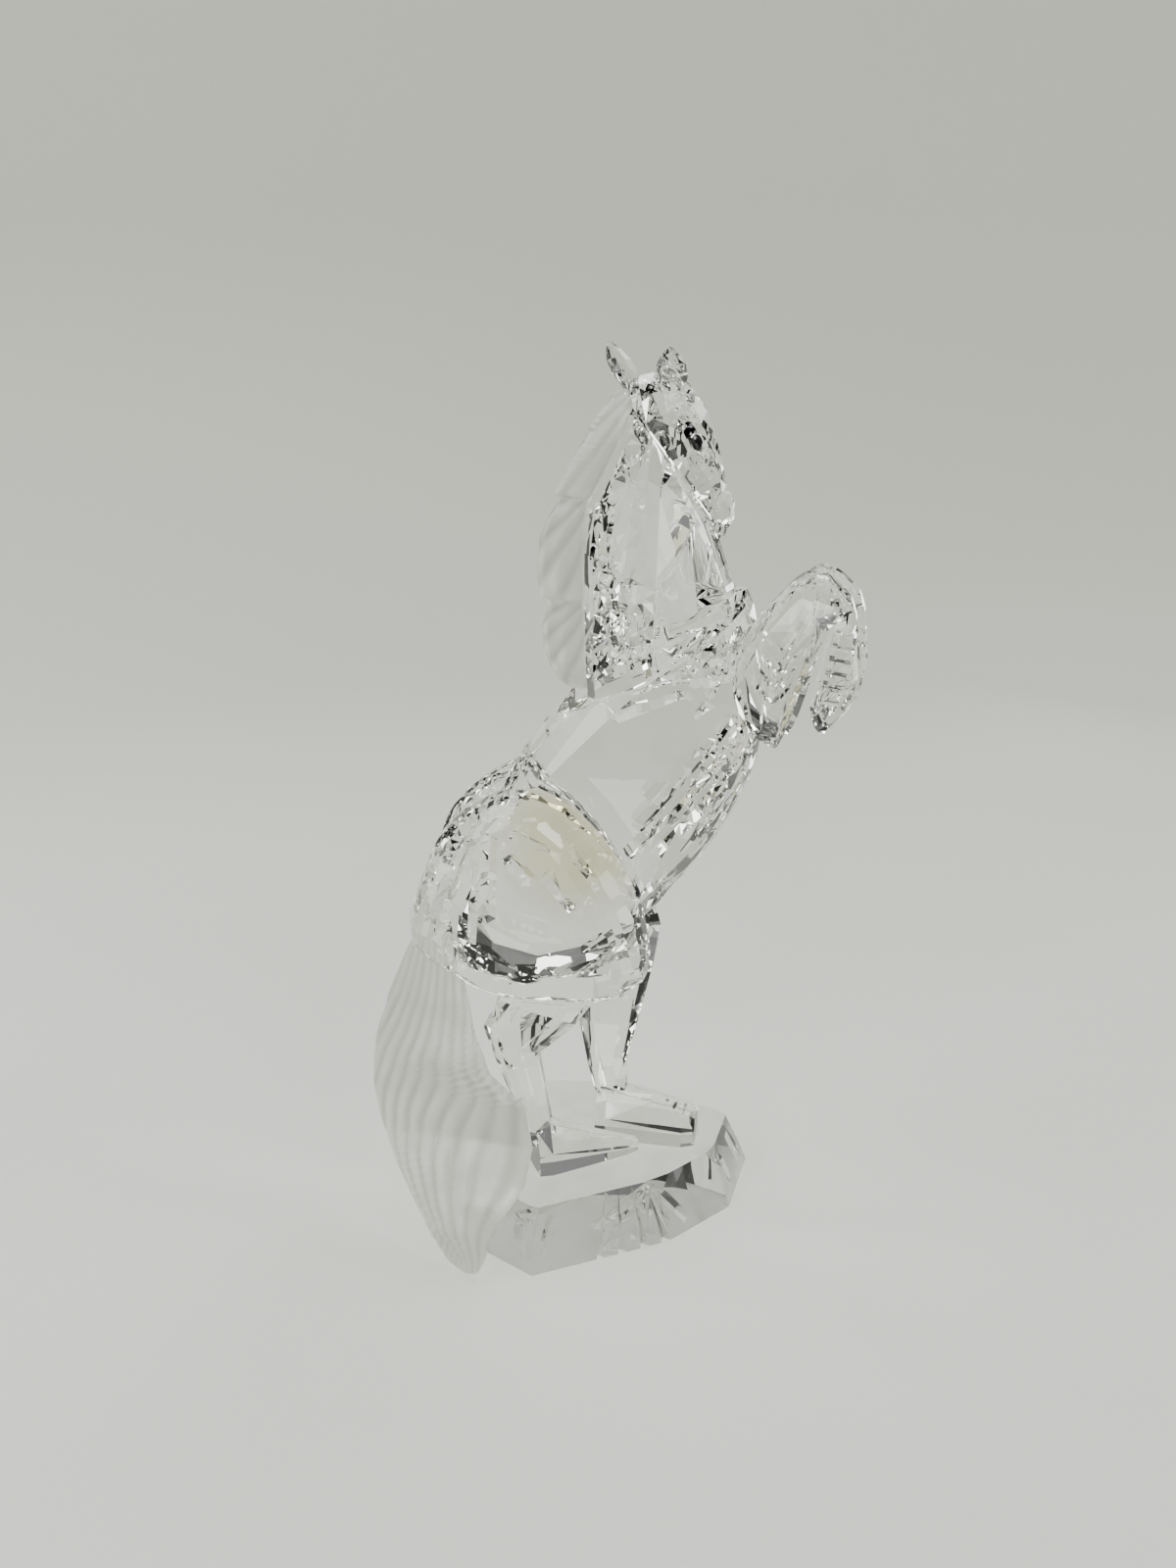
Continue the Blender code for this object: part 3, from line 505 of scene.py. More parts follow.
@dataclass
class CutPiece:
    """A glass piece that keeps its node's facets, with glued joints and finer cuts."""

    node: str
    slot: str = "clear_crystal"
    clear: Glass = CUT_CRYSTAL
    edge_width: float = 0.09 * MM
    edge_angle: float = math.radians(7.0)
    shortest_edge: float = 10.0
    ridge_width: float = 0.0
    ridge_spread: float = 14.0 * MM
    ridge_floor: float = -1.0
    ridge_angles: Pair = (math.radians(6.0), math.radians(55.0))
    shortest_ridge: float = 0.6
    rows: Rows = ()
    row_tool: Tool = Tool(3.6 * MM, 0.95 * MM)
    chips: Patches = ()
    chip_tool: Tool = Tool(2.6 * MM, 1.05 * MM)
    chip_scale: float = 1.7
    bm: BMesh = field(init=False)

    def __post_init__(self) -> None:
        """Copies the node's facets."""
        self.bm = merged_copy(self.node)

    def cut(self) -> None:
        """Grinds a narrow facet along each ridge, so that the facets meet in rows of rhombs."""
        if self.ridge_width <= 0.0:
            return
        self.bm.normal_update()
        cuts = []
        for edge in self.bm.edges:
            short = edge.calc_length() < self.shortest_ridge * self.ridge_width
            if len(edge.link_faces) != 2 or not edge.is_convex or short:
                continue
            angle = edge.calc_face_angle(0.0)
            middle = (edge.verts[0].co + edge.verts[1].co) * 0.5
            if self.ridge_angles[0] < angle < self.ridge_angles[1] and middle.z >= self.ridge_floor:
                normal = (edge.link_faces[0].normal + edge.link_faces[1].normal).normalized()
                cuts.append((normal, normal.dot(middle) - 0.5 * self.ridge_width * math.tan(0.5 * angle)))
        for normal, reach in cuts:
            self.grind(normal, reach)
        self.close_gaps()

    def engrave(self) -> None:
        """Cuts the rows of grooves and breaks patches of the surface into small facets."""
        for row in self.rows:
            self.score_row(row, self.row_tool)
        self.crinkle(self.chips, self.chip_tool)

    def glue(self, faces: list[BMFace]) -> None:
        """Gives faces the look of a glued joint."""
        for face in faces:
            face.material_index = FinishAndPaintedLight.GLUED

    def grind(self, normal: Vector, reach: float) -> None:
        """Grinds one flat facet, unless it would reach a joint or another part of the piece.

        Args:
            normal: The direction that the facet faces.
            reach: How far it lies from the origin along that direction, in metres.
        """
        lost = [vert.co for vert in self.bm.verts if normal.dot(vert.co) > reach + TOUCH]
        if not lost or max((point - lost[0]).length for point in lost) > self.ridge_spread:
            return
        glued = [face for face in self.bm.faces if face.material_index == FinishAndPaintedLight.GLUED]
        if any(normal.dot(vert.co) > reach - JOINT_MARGIN for face in glued for vert in face.verts):
            return
        made = bmesh.ops.bisect_plane(
            self.bm, geom=self.bm.verts[:] + self.bm.edges[:] + self.bm.faces[:], dist=ON_PLANE,
            plane_co=normal * reach, plane_no=normal, clear_outer=True)
        rim = [item for item in made["geom_cut"] if isinstance(item, BMEdge)]
        if len(rim) > 2:
            bmesh.ops.contextual_create(self.bm, geom=rim, mat_nr=FinishAndPaintedLight.CLEAR)

    def polish_edges(self) -> None:
        """Breaks the edges between facets with a narrow bevel, apart from those at a joint, and tints the
        bevels with painted prism light.
        """
        edges = [edge for edge in self.bm.edges
                 if len(edge.link_faces) == 2 and edge.calc_face_angle(0.0) > self.edge_angle
                 and is_free(edge) and edge.calc_length() > self.shortest_edge * self.edge_width]
        made = bmesh.ops.bevel(self.bm, geom=edges, offset=self.edge_width, offset_type="OFFSET", segments=1,
                               profile=0.5, affect="EDGES", clamp_overlap=True, material=-1)
        for face in made["faces"]:
            if face.material_index == FinishAndPaintedLight.CLEAR:
                face.material_index = FinishAndPaintedLight.PRISM_LIGHT

    def rims(self) -> list[BMEdge]:
        """The edges with a face on one side only."""
        return [edge for edge in self.bm.edges if edge.is_boundary]

    def close_gaps(self) -> None:
        """Fills the slits that a cut may leave where several facets meet in a point."""
        for _ in range(2):
            rims = self.rims()
            if not rims:
                return
            verts = list(dict.fromkeys(vert for edge in rims for vert in edge.verts))
            bmesh.ops.remove_doubles(self.bm, verts=verts, dist=RIM_WELD)
            bmesh.ops.holes_fill(self.bm, edges=self.rims(), sides=0)
            bmesh.ops.dissolve_degenerate(self.bm, edges=self.bm.edges[:], dist=WELD)
        LOG.info("%s keeps %d open edges", self.node, len(self.rims()))

    def refine(self, centre: Vector, radius: float, pitch: float) -> list[BMVert]:
        """Divides the faces round a spot until their edges are short enough.

        Args:
            centre: The spot.
            radius: How far the division goes, in metres.
            pitch: The wanted edge length in metres.

        Returns:
            The points within the radius that no joint holds.
        """
        glued = FinishAndPaintedLight.GLUED
        for _ in range(REFINE_ROUNDS):
            near = [edge for edge in self.bm.edges if edge_gap(edge, centre) < radius]
            faces = dict.fromkeys(face for edge in near for face in edge.link_faces
                                  if face.material_index != glued and len(face.verts) > 3)
            bmesh.ops.triangulate(self.bm, faces=list(faces))
            edges = [edge for edge in self.bm.edges
                     if edge.calc_length() > pitch and edge_gap(edge, centre) < radius and is_free(edge)]
            if not edges:
                break
            bmesh.ops.subdivide_edges(self.bm, edges=edges, cuts=1)
        return [vert for vert in self.bm.verts if (vert.co - centre).length < radius and is_free(vert)]

    def crinkle(self, spots: Patches, tool: Tool) -> None:
        """Breaks round patches of the surface into small uneven facets.

        Args:
            spots: The patches' middles and radii.
            tool: The facets' size and depth.
        """
        for centre, radius in spots:
            self.bm.normal_update()
            moves = []
            for vert in self.refine(centre, radius, tool.width):
                fade = 1.0 - ((vert.co - centre).length / radius) ** 2
                share = 0.5 + 0.5 * noise.cell(vert.co * (self.chip_scale / tool.width))
                moves.append((vert, vert.normal * (tool.depth * fade * share)))
            self.sink(moves)

    def dent(self, centre: Vector, tool: Tool) -> None:
        """Presses a smooth hollow into the surface.

        Args:
            centre: The hollow's middle.
            tool: Its radius and depth.
        """
        verts = self.refine(centre, tool.width, 0.3 * tool.width)
        self.bm.normal_update()
        self.sink([
            (vert, vert.normal * (tool.depth * (1.0 - ((vert.co - centre).length / tool.width) ** 2) ** 2))
            for vert in verts])

    def sink(self, moves: list[tuple[BMVert, Vector]]) -> None:
        """Moves points inwards, each by its own way."""
        for vert, move in moves:
            vert.co -= move

    def score(self, start: Vector, end: Vector, facing: Vector, tool: Tool) -> None:
        """Cuts a straight V groove that runs out at both ends.

        Args:
            start: One end of the groove.
            end: Its other end.
            facing: The direction that the surface faces there.
            tool: The groove's width and depth.
        """
        run = end - start
        along = run.normalized()
        across = along.cross(facing).normalized()
        middle = (start + end) * 0.5
        half, side = 0.5 * run.length, 0.5 * tool.width
        shoulder = max(half - 1.5 * tool.width, 0.3 * half)
        room = ((along, half), (across, side), (facing, GROOVE_REACH))
        glued = FinishAndPaintedLight.GLUED
        self.bm.normal_update()
        for direction, offsets in ((across, (-side, 0.0, side)),
                                   (along, (-half, -shoulder, 0.0, shoulder, half))):
            for offset in offsets:
                faces = [face for face in self.bm.faces if face.material_index != glued
                         and face.normal.dot(facing) >= 0.5 and reaches_into(face, middle, room)]
                slice_faces(self.bm, faces, middle + direction * offset, direction)
        for vert in self.bm.verts:
            place = vert.co - middle
            if (abs(across.dot(place)) < TOUCH and abs(along.dot(place)) < half - TOUCH
                    and abs(facing.dot(place)) < GROOVE_REACH and vert.normal.dot(facing) > 0.3):
                vert.co -= facing * tool.depth

    def score_row(self, row: Path, tool: Tool) -> None:
        """Cuts a row of V grooves, one between each two neighbours of a path.

        Args:
            row: Places near the surface, from one end of the row to the other.
            tool: The grooves' width and depth.
        """
        for start, end in zip(row, row[1:]):
            tree = BVHTree.FromBMesh(self.bm)
            place, facing, _, _ = tree.find_nearest((start + end) * 0.5)
            lift = facing * facing.dot(place)
            self.score(start - facing * facing.dot(start) + lift, end - facing * facing.dot(end) + lift,
                       facing, tool)

    def finish(self) -> Object:
        """Makes the object, gives it its materials and lets it replace its node.

        Returns:
            The finished object.
        """
        self.close_gaps()
        bmesh.ops.triangulate(self.bm, faces=[face for face in self.bm.faces if len(face.verts) > 4])
        piece = show_mesh(f"{self.node}_cut", self.bm)
        self.bm.free()
        for glass in (self.clear, *SLOTS):
            piece.data.materials.append(glass.material())
        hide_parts(self.node)
        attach(piece, BODY)
        return piece


@dataclass
class Torso(CutPiece):
    """The barrel of the body, with rows of long rhombs along belly and back."""

    node: str = "torso"
    ridge_width: float = 3.0 * MM
    ridge_spread: float = 26.0 * MM
    fan_tool: Tool = Tool(3.2 * MM, 1.10 * MM)
    chips: Patches = patches(
        (18.8, -12.0, 108.6, 3.4), (22.6, -8.4, 107.0, 3.6), (18.4, 12.4, 109.0, 3.4),
        (-22.0, -4.0, 53.0, 5.0), (-16.0, -4.0, 49.5, 5.4), (-9.0, -5.0, 47.8, 5.4),
        (-2.0, -5.0, 50.5, 5.4), (5.0, -5.0, 57.0, 5.4), (11.5, -6.0, 65.0, 4.6))
    rows: Rows = (
        path((9.9, -11.4, 73.8), (15.7, -11.7, 80.6), (21.1, -10.8, 87.2), (25.5, -6.6, 93.2)),
        path((6.2, -11.6, 73.0), (11.9, -12.1, 79.9), (17.4, -12.3, 87.0), (22.6, -10.8, 93.8)),
        path((8.4, -11.9, 78.7), (14.1, -12.5, 86.0), (19.1, -12.8, 92.5), (23.4, -10.1, 98.5)),
        path((-18.2, -6.0, 79.0), (-13.4, -6.0, 86.4), (-9.0, -6.0, 92.8), (-4.6, -7.4, 98.6)))
    fan: Rows = (
        path((2.6, -13.2, 98.0), (9.4, -13.7, 101.2), (16.2, -14.2, 103.4)),
        path((6.6, -13.5, 102.2), (13.2, -14.1, 104.9), (20.4, -11.8, 105.4)),
        path((17.2, -13.4, 98.6), (20.6, -11.6, 104.2), (22.2, -9.6, 109.4)))

    def engrave(self) -> None:
        """Cuts the rhombs and the shoulders' fans, and breaks shoulder and haunch into small facets."""
        for rows, tool in ((self.rows, self.row_tool), (self.fan, self.fan_tool)):
            for row in rows:
                self.score_row(row, tool)
                self.score_row(mirrored(row), tool)
        self.crinkle(self.chips, self.chip_tool)


@dataclass
class Neck(CutPiece):
    """The neck, with fine facets down its crest and a swirl above the withers."""

    node: str = "neck"
    ridge_width: float = 2.2 * MM
    ridge_spread: float = 22.0 * MM
    chip_tool: Tool = Tool(2.6 * MM, 1.00 * MM)
    rows: Rows = (
        path((6.8, -5.2, 143.4), (4.6, -5.8, 137.0), (2.8, -6.5, 131.0), (1.4, -7.6, 124.6)),
        path((0.6, -8.6, 121.6), (4.2, -10.2, 119.6), (8.6, -11.2, 119.4)),
        path((1.0, -10.2, 115.4), (5.0, -12.0, 114.6), (9.8, -12.0, 115.2)),
        path((1.6, -11.8, 109.4), (6.0, -13.0, 109.6), (11.4, -12.2, 112.0)))
    chips: Patches = patches((6.0, -5.3, 141.6, 3.0), (1.8, -8.2, 123.6, 3.0), (4.6, -11.0, 117.4, 6.0),
                             (6.4, -12.6, 111.0, 5.4), (10.6, -11.0, 116.4, 3.2))


@dataclass
class HindLeg(CutPiece):
    """A hind leg: the domed thigh with many facets, the cannon and the wedge hoof."""

    ridge_width: float = 2.2 * MM
    ridge_floor: float = 49.0 * MM
    row_tool: Tool = Tool(3.2 * MM, 1.20 * MM)
    chip_tool: Tool = Tool(2.8 * MM, 1.15 * MM)
    rib_tool: Tool = Tool(1.1 * MM, 0.30 * MM)
    rib_facing: Vector = field(default_factory=lambda: Vector((0.15, -0.1, 1.0)).normalized())
    ribs: Rows = ()

    def engrave(self) -> None:
        """Cuts the thigh's facets and the hoof's ribs."""
        super().engrave()
        for start, end in self.ribs:
            self.score(start, end, self.rib_facing, self.rib_tool)


@dataclass
class Foreleg(CutPiece):
    """A folded foreleg, with chevrons on the forearm and ridges across the cannon.

    The middle lines of forearm and cannon are given by a place in x and z and by their lean.
    """

    ridge_width: float = 1.0 * MM
    ridge_spread: float = 9.0 * MM
    offset: Vector = field(default_factory=Vector)
    side: int = -1
    outer_face: float = 10.8
    forearm: Triple = (29.4, 105.0, 0.12)
    chevrons: tuple[float, ...] = (107.4, 104.9, 102.4)
    chevron_arms: Pair = (-2.6, 2.4)
    chevron_rise: float = 1.6
    chevron_tool: Tool = Tool(0.9 * MM, 0.28 * MM)
    cannon: Triple = (38.9, 106.0, 0.22)
    ridges: tuple[float, ...] = (110.4, 108.2, 106.0, 103.8, 101.6)
    ridge_ends: Pair = (-1.6, 1.8)
    ridge_tilt: float = 0.25
    ridge_tool: Tool = Tool(0.8 * MM, 0.22 * MM)
    flank: tuple[Pair, ...] = ((30.4, 108.6), (33.6, 114.6))
    flank_tool: Tool = Tool(1.3 * MM, 0.34 * MM)
    knee: tuple[Pair, ...] = ((29.6, 117.4), (31.8, 121.2), (35.6, 123.0))
    knee_tool: Tool = Tool(1.5 * MM, 0.40 * MM)

    def at(self, x: float, z: float) -> Vector:
        """A place on the leg's outer side."""
        return spot(x, self.side * self.outer_face, z) + self.offset

    def engrave(self) -> None:
        """Cuts the chevrons, the ridges, the long groove and the knee's upper facets."""
        outward = Vector((0.0, float(self.side), 0.0))
        x, z, lean = self.forearm
        for height in self.chevrons:
            middle = x + lean * (height - z)
            for arm in self.chevron_arms:
                self.score(self.at(middle, height - self.chevron_rise),
                           self.at(middle + arm, height + self.chevron_rise), outward, self.chevron_tool)
        x, z, lean = self.cannon
        for height in self.ridges:
            middle = x + lean * (height - z)
            self.score(self.at(middle + self.ridge_ends[0], height + self.ridge_tilt),
                       self.at(middle + self.ridge_ends[1], height - self.ridge_tilt), outward,
                       self.ridge_tool)
        start, end = (self.at(*place) for place in self.flank)
        self.score(start, end, outward, self.flank_tool)
        self.score_row(tuple(self.at(*place) for place in self.knee), self.knee_tool)


@dataclass
class HorseHead(CutPiece):
    """The head, with fine facets down the face and hollow nostrils."""

    node: str = "head"
    chip_tool: Tool = Tool(1.2 * MM, 0.40 * MM)
    nostril: Tool = Tool(0.9 * MM, 0.35 * MM)
    chips: Patches = patches((12.6, -1.6, 147.0, 2.3), (13.6, -1.2, 144.4, 2.2), (16.5, 0.9, 136.6, 3.0),
                             (17.2, 4.0, 130.6, 3.0), (15.8, 5.6, 127.4, 2.4))
    nostrils: Path = path((18.4, 4.4, 130.0), (15.6, 8.2, 130.0))

    def engrave(self) -> None:
        """Breaks the face into small facets and presses the nostrils in."""
        super().engrave()
        for centre in self.nostrils:
            self.dent(centre, self.nostril)


@dataclass
class Foot(CutPiece):
    """The foot: a satin upper face and clear cut sides, in glass tinted darker as painted shade."""

    node: str = "base"
    slot: str = "base_crystal"
    clear: Glass = SHADED_FOOT_CRYSTAL
    flute_tool: Tool = Tool(2.0 * MM, 0.60 * MM)
    row_tool: Tool = Tool(2.2 * MM, 0.60 * MM)
    chip_tool: Tool = Tool(1.3 * MM, 0.45 * MM)
    apex: Vector = field(default_factory=lambda: spot(10.6, -11.9, 10.2))
    flutes: Path = path((1.5, -19.8, 5.2), (4.4, -18.6, 3.0), (7.8, -17.0, 2.0), (11.0, -15.0, 1.8),
                        (14.2, -12.8, 2.2), (17.6, -9.4, 2.4))
    rows: Rows = (
        path((-5.0, -22.6, 9.0), (-7.4, -24.6, 2.2)), path((-12.0, -22.6, 9.2), (-9.6, -25.6, 2.0)),
        path((21.6, 2.6, 9.4), (23.8, 4.6, 2.0)), path((22.2, 9.8, 9.2), (23.6, 12.0, 2.4)),
        path((-24.6, -6.0, 9.2), (-26.6, -3.0, 2.4)), path((-24.8, 3.0, 9.2), (-26.8, 5.0, 2.4)))
    chips: Patches = patches((-9.6, -23.4, 8.6, 2.6))

    def cut(self) -> None:
        """Frosts the upper face."""
        for face in self.bm.faces:
            if face.normal.z > 0.99 and face.material_index == FinishAndPaintedLight.CLEAR:
                face.material_index = FinishAndPaintedLight.SATIN

    def engrave(self) -> None:
        """Cuts the fan of flutes at the front, a groove on each other side and the stud's facets."""
        for end in self.flutes:
            self.score_row((self.apex, end), self.flute_tool)
        super().engrave()


@dataclass
class SatinLock(CutPiece):
    """A frosted piece combed into fine strands: the mane, whose locks fan out from poles, or the tail.

    Each pole is given in millimetres by its x, its z and the height where its lock ends.
    """

    slot: str = "frosted_crystal"
    pitch: float = 0.42 * MM
    smoothing: int = 4
    groove_depth: float = 0.36 * MM
    strands: int = 9
    fan_angle: float = 11.0
    wave: Pair = (0.13, 9.5 * MM)
    drift: Pair = (0.22, 38.0)
    unevenness: Triple = (0.70, 0.9, 70.0)
    step_depth: float = 0.40 * MM
    bulge: Pair = (2.4 * MM, 0.7 * MM)
    roundness: float = 1.5
    top: float = 153.0
    poles: tuple[Triple, ...] = ()
    low: dict[int, float] = field(default_factory=dict)
    high: dict[int, float] = field(default_factory=dict)

    def measure(self) -> None:
        """Notes the lowest and the highest x for each whole millimetre of height."""
        self.low.clear()
        self.high.clear()
        for vert in self.bm.verts:
            level = round(vert.co.z / MM)
            self.low[level] = min(self.low.get(level, 1.0), vert.co.x)
            self.high[level] = max(self.high.get(level, -1.0), vert.co.x)

    def strand_place(self, point: Vector) -> float:
        """Tells where a point lies among the strands.

        Args:
            point: The point.

        Returns:
            A number that grows by one from one groove to the next.
        """
        if self.poles:
            x, z = point.x / MM, point.z / MM
            pole_x, pole_z, _ = next((pole for pole in self.poles if z > pole[2]), self.poles[-1])
            return math.degrees(math.atan2(pole_z - z, pole_x - x)) / self.fan_angle
        level = round(point.z / MM)
        levels = [number for number in (level - 1, level, level + 1) if number in self.low]
        back = sum(self.low[number] for number in levels) / len(levels)
        front = sum(self.high[number] for number in levels) / len(levels)
        sway = self.wave[0] * math.sin(point.z / self.wave[1])
        sway += self.drift[0] * noise.noise(point * self.drift[1])
        return self.strands * ((point.x - back) / max(front - back, 0.5 * MM) + sway)

    def height_in_lock(self, point: Vector) -> float:
        """Tells how high up in its lock a point of the mane lies.

        Args:
            point: The point.

        Returns:
            A share, from nought at the lock's foot to one at its top.
        """
        top = self.top
        for _, _, foot in self.poles:
            if point.z > foot * MM:
                return min((point.z / MM - foot) / (top - foot), 1.0)
            top = foot
        return 0.0

    def swell(self) -> None:
        """Rounds the outer edge of each lock."""
        for vert in self.bm.verts:
            level = round(vert.co.z / MM)
            low, high = self.low.get(level, 0.0), self.high.get(level, 0.0)
            if high > low:
                bulge = self.bulge[0] if vert.co.z > self.poles[0][2] * MM else self.bulge[1]
                rise = math.sin(math.pi * self.height_in_lock(vert.co))
                vert.co.x -= bulge * ((high - vert.co.x) / (high - low)) ** self.roundness * rise

    def polish_edges(self) -> None:
        """A satin piece has no polished edges."""

    def even_out(self) -> None:
        """Divides the whole surface into small even faces."""
        blank = show_mesh("blank", self.bm)
        remesh = blank.modifiers.new("even", "REMESH")
        remesh.mode = "VOXEL"
        remesh.voxel_size = self.pitch
        bpy.context.view_layer.update()
        evaluated = blank.evaluated_get(bpy.context.evaluated_depsgraph_get())
        self.bm.clear()
        self.bm.from_mesh(evaluated.to_mesh())
        evaluated.to_mesh_clear()
        mesh = blank.data
        bpy.data.objects.remove(blank)
        bpy.data.meshes.remove(mesh)
        for _ in range(self.smoothing):
            bmesh.ops.smooth_vert(self.bm, verts=self.bm.verts[:], factor=0.5, use_axis_x=True,
                                  use_axis_y=True, use_axis_z=True)

    def engrave(self) -> None:
        """Combs the strands into the whole surface."""
        self.even_out()
        self.measure()
        if self.poles:
            self.swell()
            self.measure()
        self.bm.normal_update()
        least, swing, fineness = self.unevenness
        moves = []
        # This layer holds how deep in a groove each point lies. It sets the groove's depth and its painted
        # shade.
        groove_shade = self.bm.verts.layers.float.new("groove_shade")
        for vert in self.bm.verts:
            share = (0.5 + 0.5 * math.cos(math.tau * self.strand_place(vert.co))) ** 2
            vert[groove_shade] = share
            wander = least + swing * noise.noise(vert.co * fineness)
            sunk = self.step_depth * self.height_in_lock(vert.co) ** self.roundness
            moves.append((vert, vert.normal * (self.groove_depth * share * wander + sunk)))
        self.sink(moves)
        for face in self.bm.faces:
            face.material_index = FinishAndPaintedLight.SATIN
            face.smooth = True


def join(loose: CutPiece, seat: CutPiece) -> None:
    """Marks the joint between two glued pieces on both of them.

    Args:
        loose: The piece that is fitted to the other one.
        seat: The convex piece that carries it.
    """
    seat_planes = hull_planes(seat.bm)
    glued = clip_faces(loose.bm, near_faces(loose.bm, seat.bm, JOINT_REACH), seat_planes, JOINT_REACH)
    loose.glue(glued)
    across = near_faces(seat.bm, loose.bm, JOINT_REACH)
    for patch in glued:
        seat.glue(clip_faces(seat.bm, across, edge_planes(patch), SEAM))
        across = near_faces(seat.bm, loose.bm, JOINT_REACH)


@dataclass(frozen=True)
class SoftLight:
    """A square soft light: where it hangs, its width in metres and its power in watts."""

    name: str
    place: Triple
    size: float
    watts: float

    def hang(self, aim: Vector) -> None:
        """Hangs the light so that it faces a point.

        Args:
            aim: The point that it faces.
        """
        data = bpy.data.lights.new(self.name, "AREA")
        data.shape = "SQUARE"
        data.size = self.size
        data.energy = self.watts
        light = show(self.name, data)
        light.location = self.place
        light.rotation_mode = "QUATERNION"
        light.rotation_quaternion = (aim - Vector(self.place)).to_track_quat("-Z", "Y")


@dataclass
class Studio:
    """A plain pale sweep all round, painted darker towards the wall as shade, with soft lights, cards that
    only the glass sees, and the camera.
    """

    floor_radius: float = 0.34
    floor_rings: tuple[float, ...] = (0.002, 0.1, 0.22)
    floor_drop: float = 0.2 * MM
    wall_radius: float = 0.50
    wall_height: float = 0.32
    rise_steps: int = 12
    sweep_steps: int = 96
    azimuth: float = math.radians(10.0)
    elevation: float = math.radians(20.0)
    distance: float = 0.309
    lens: float = 40.5
    sensor: float = 36.0
    clip: Pair = (0.01, 10.0)
    target: Vector = field(default_factory=lambda: spot(-3.5, 4.0, 80.0))
    aim: Vector = field(default_factory=lambda: spot(0.0, 0.0, 70.0))
    card_radius: float = 0.36
    card_middle: float = 0.07
    card_columns: int = 25
    fewest_columns: int = 6
    card_size: Pair = (0.050, 0.072)
    card_tiers: tuple[float, ...] = (-4.0, 5.0, 14.0, 23.0, 32.5, 42.0, 52.5, 64.0, 77.0)
    card_glow: float = 3.8
    black_top: float = 48.0
    window_top: float = 28.0
    open_sector: float = math.radians(20.0)
    pale: Triple = (0.635, 0.635, 0.595)
    # The wall's colour is darker than the floor's as painted shade. The paper fades to it over the distances
    # in fade.
    wall_shade: Triple = (0.515, 0.523, 0.470)
    room: Triple = (0.22, 0.22, 0.225)
    fade: Pair = (0.18, 0.47)
    paper_roughness: float = 0.85
    paper_drift: float = 0.985
    paper_scales: Pair = (9.0, 900.0)
    lights: tuple[SoftLight, ...] = (
        SoftLight("key_light", (-0.45, -0.25, 0.85), 0.40, 5.0),
        SoftLight("back_light", (0.30, 0.50, 0.80), 0.30, 3.0),
        SoftLight("fill_light", (0.50, -0.50, 0.75), 0.22, 1.7),
        SoftLight("left_glint", (-0.46, 0.10, 0.36), 0.07, 1.0),
        SoftLight("right_glint", (0.46, 0.02, 0.33), 0.07, 1.0),
        SoftLight("front_glint", (-0.22, -0.42, 0.34), 0.07, 0.9))

    def plain(self, name: str, colour: Triple, glow: float = 0.0, far_shade: Triple | None = None) -> Material:
        """Builds a matt paper with a faint cloud in it, and with painted shade away from the middle if asked.

        Args:
            name: The material's name.
            colour: The paper's colour.
            glow: How strongly it shines by itself.
            far_shade: The colour of painted shade that it fades to away from the middle, if it does.

        Returns:
            The paper's material.
        """
        material, wiring, shader = start_material(name)
        wiring.fill(shader, {"Roughness": self.paper_roughness})
        second = (self.paper_drift * value for value in colour)
        paper = wiring.add("Group", {
            "First": (*colour, 1.0), "Second": (*second, 1.0), "Cloud Scale": self.paper_scales[0],
            "Grain Scale": self.paper_scales[1]}, node_tree=cloud_and_grain()).outputs["Colour"]
        # Painted shade: the paper darkens towards the far colour away from the middle.
        if far_shade:
            place = wiring.add("TexCoord").outputs["Object"]
            reach = wiring.add("VectorMath", {0: place}, operation="LENGTH")
            fade = wiring.add("MapRange", {"Value": reach.outputs["Value"], "From Min": self.fade[0],
                                           "From Max": self.fade[1]}, interpolation_type="SMOOTHSTEP")
            paper = wiring.blend(fade.outputs["Result"], paper, far_shade)
        wiring.fill(shader, {"Base Color": paper})
        if glow > 0.0:
            wiring.fill(shader, {"Emission Color": paper, "Emission Strength": glow})
        return material

    def cards(self) -> None:
        """Hangs tiers of white and black cards that only the glass sees, clear of the camera's backdrop."""
        bm = bmesh.new()
        eye = Matrix.Translation((0.0, 0.0, self.card_middle))
        for tier, elevation in enumerate(self.card_tiers):
            tilt = math.radians(-elevation)
            columns = max(self.fewest_columns, round(self.card_columns * math.cos(tilt)))
            for column in range(columns):
                kind = (column * column * 5 + column * 3 + tier * 4 + column * tier) % CARD_KINDS
                black = kind >= WHITE_KINDS
                turn = math.tau * (column + 0.5 * (tier % 2)) / columns
                away = abs(math.remainder(turn - self.azimuth - 0.5 * math.pi, math.tau))
                in_view = elevation < self.window_top and away < self.open_sector
                if kind >= HUNG_KINDS or in_view or (black and elevation > self.black_top):
                    continue
                place = (eye @ Matrix.Rotation(turn, 4, "Z") @ Matrix.Rotation(tilt, 4, "Y")
                         @ Matrix.Translation((self.card_radius, 0.0, 0.0))
                         @ Matrix.Rotation(-0.5 * math.pi, 4, "Y")
                         @ Matrix.Diagonal((*self.card_size, 1.0, 1.0)))
                made = bmesh.ops.create_grid(bm, x_segments=1, y_segments=1, size=0.5, matrix=place)
                for face in {face for vert in made["verts"] for face in vert.link_faces}:
                    face.material_index = int(black)
        cards = show_mesh("cards", bm)
        bm.free()
        cards.data.materials.append(self.plain("white_card", (1.0, 1.0, 0.98), glow=self.card_glow))
        cards.data.materials.append(self.plain("black_card", (0.030, 0.030, 0.032)))
        cards.visible_camera = False
        cards.visible_diffuse = False
        cards.visible_shadow = False

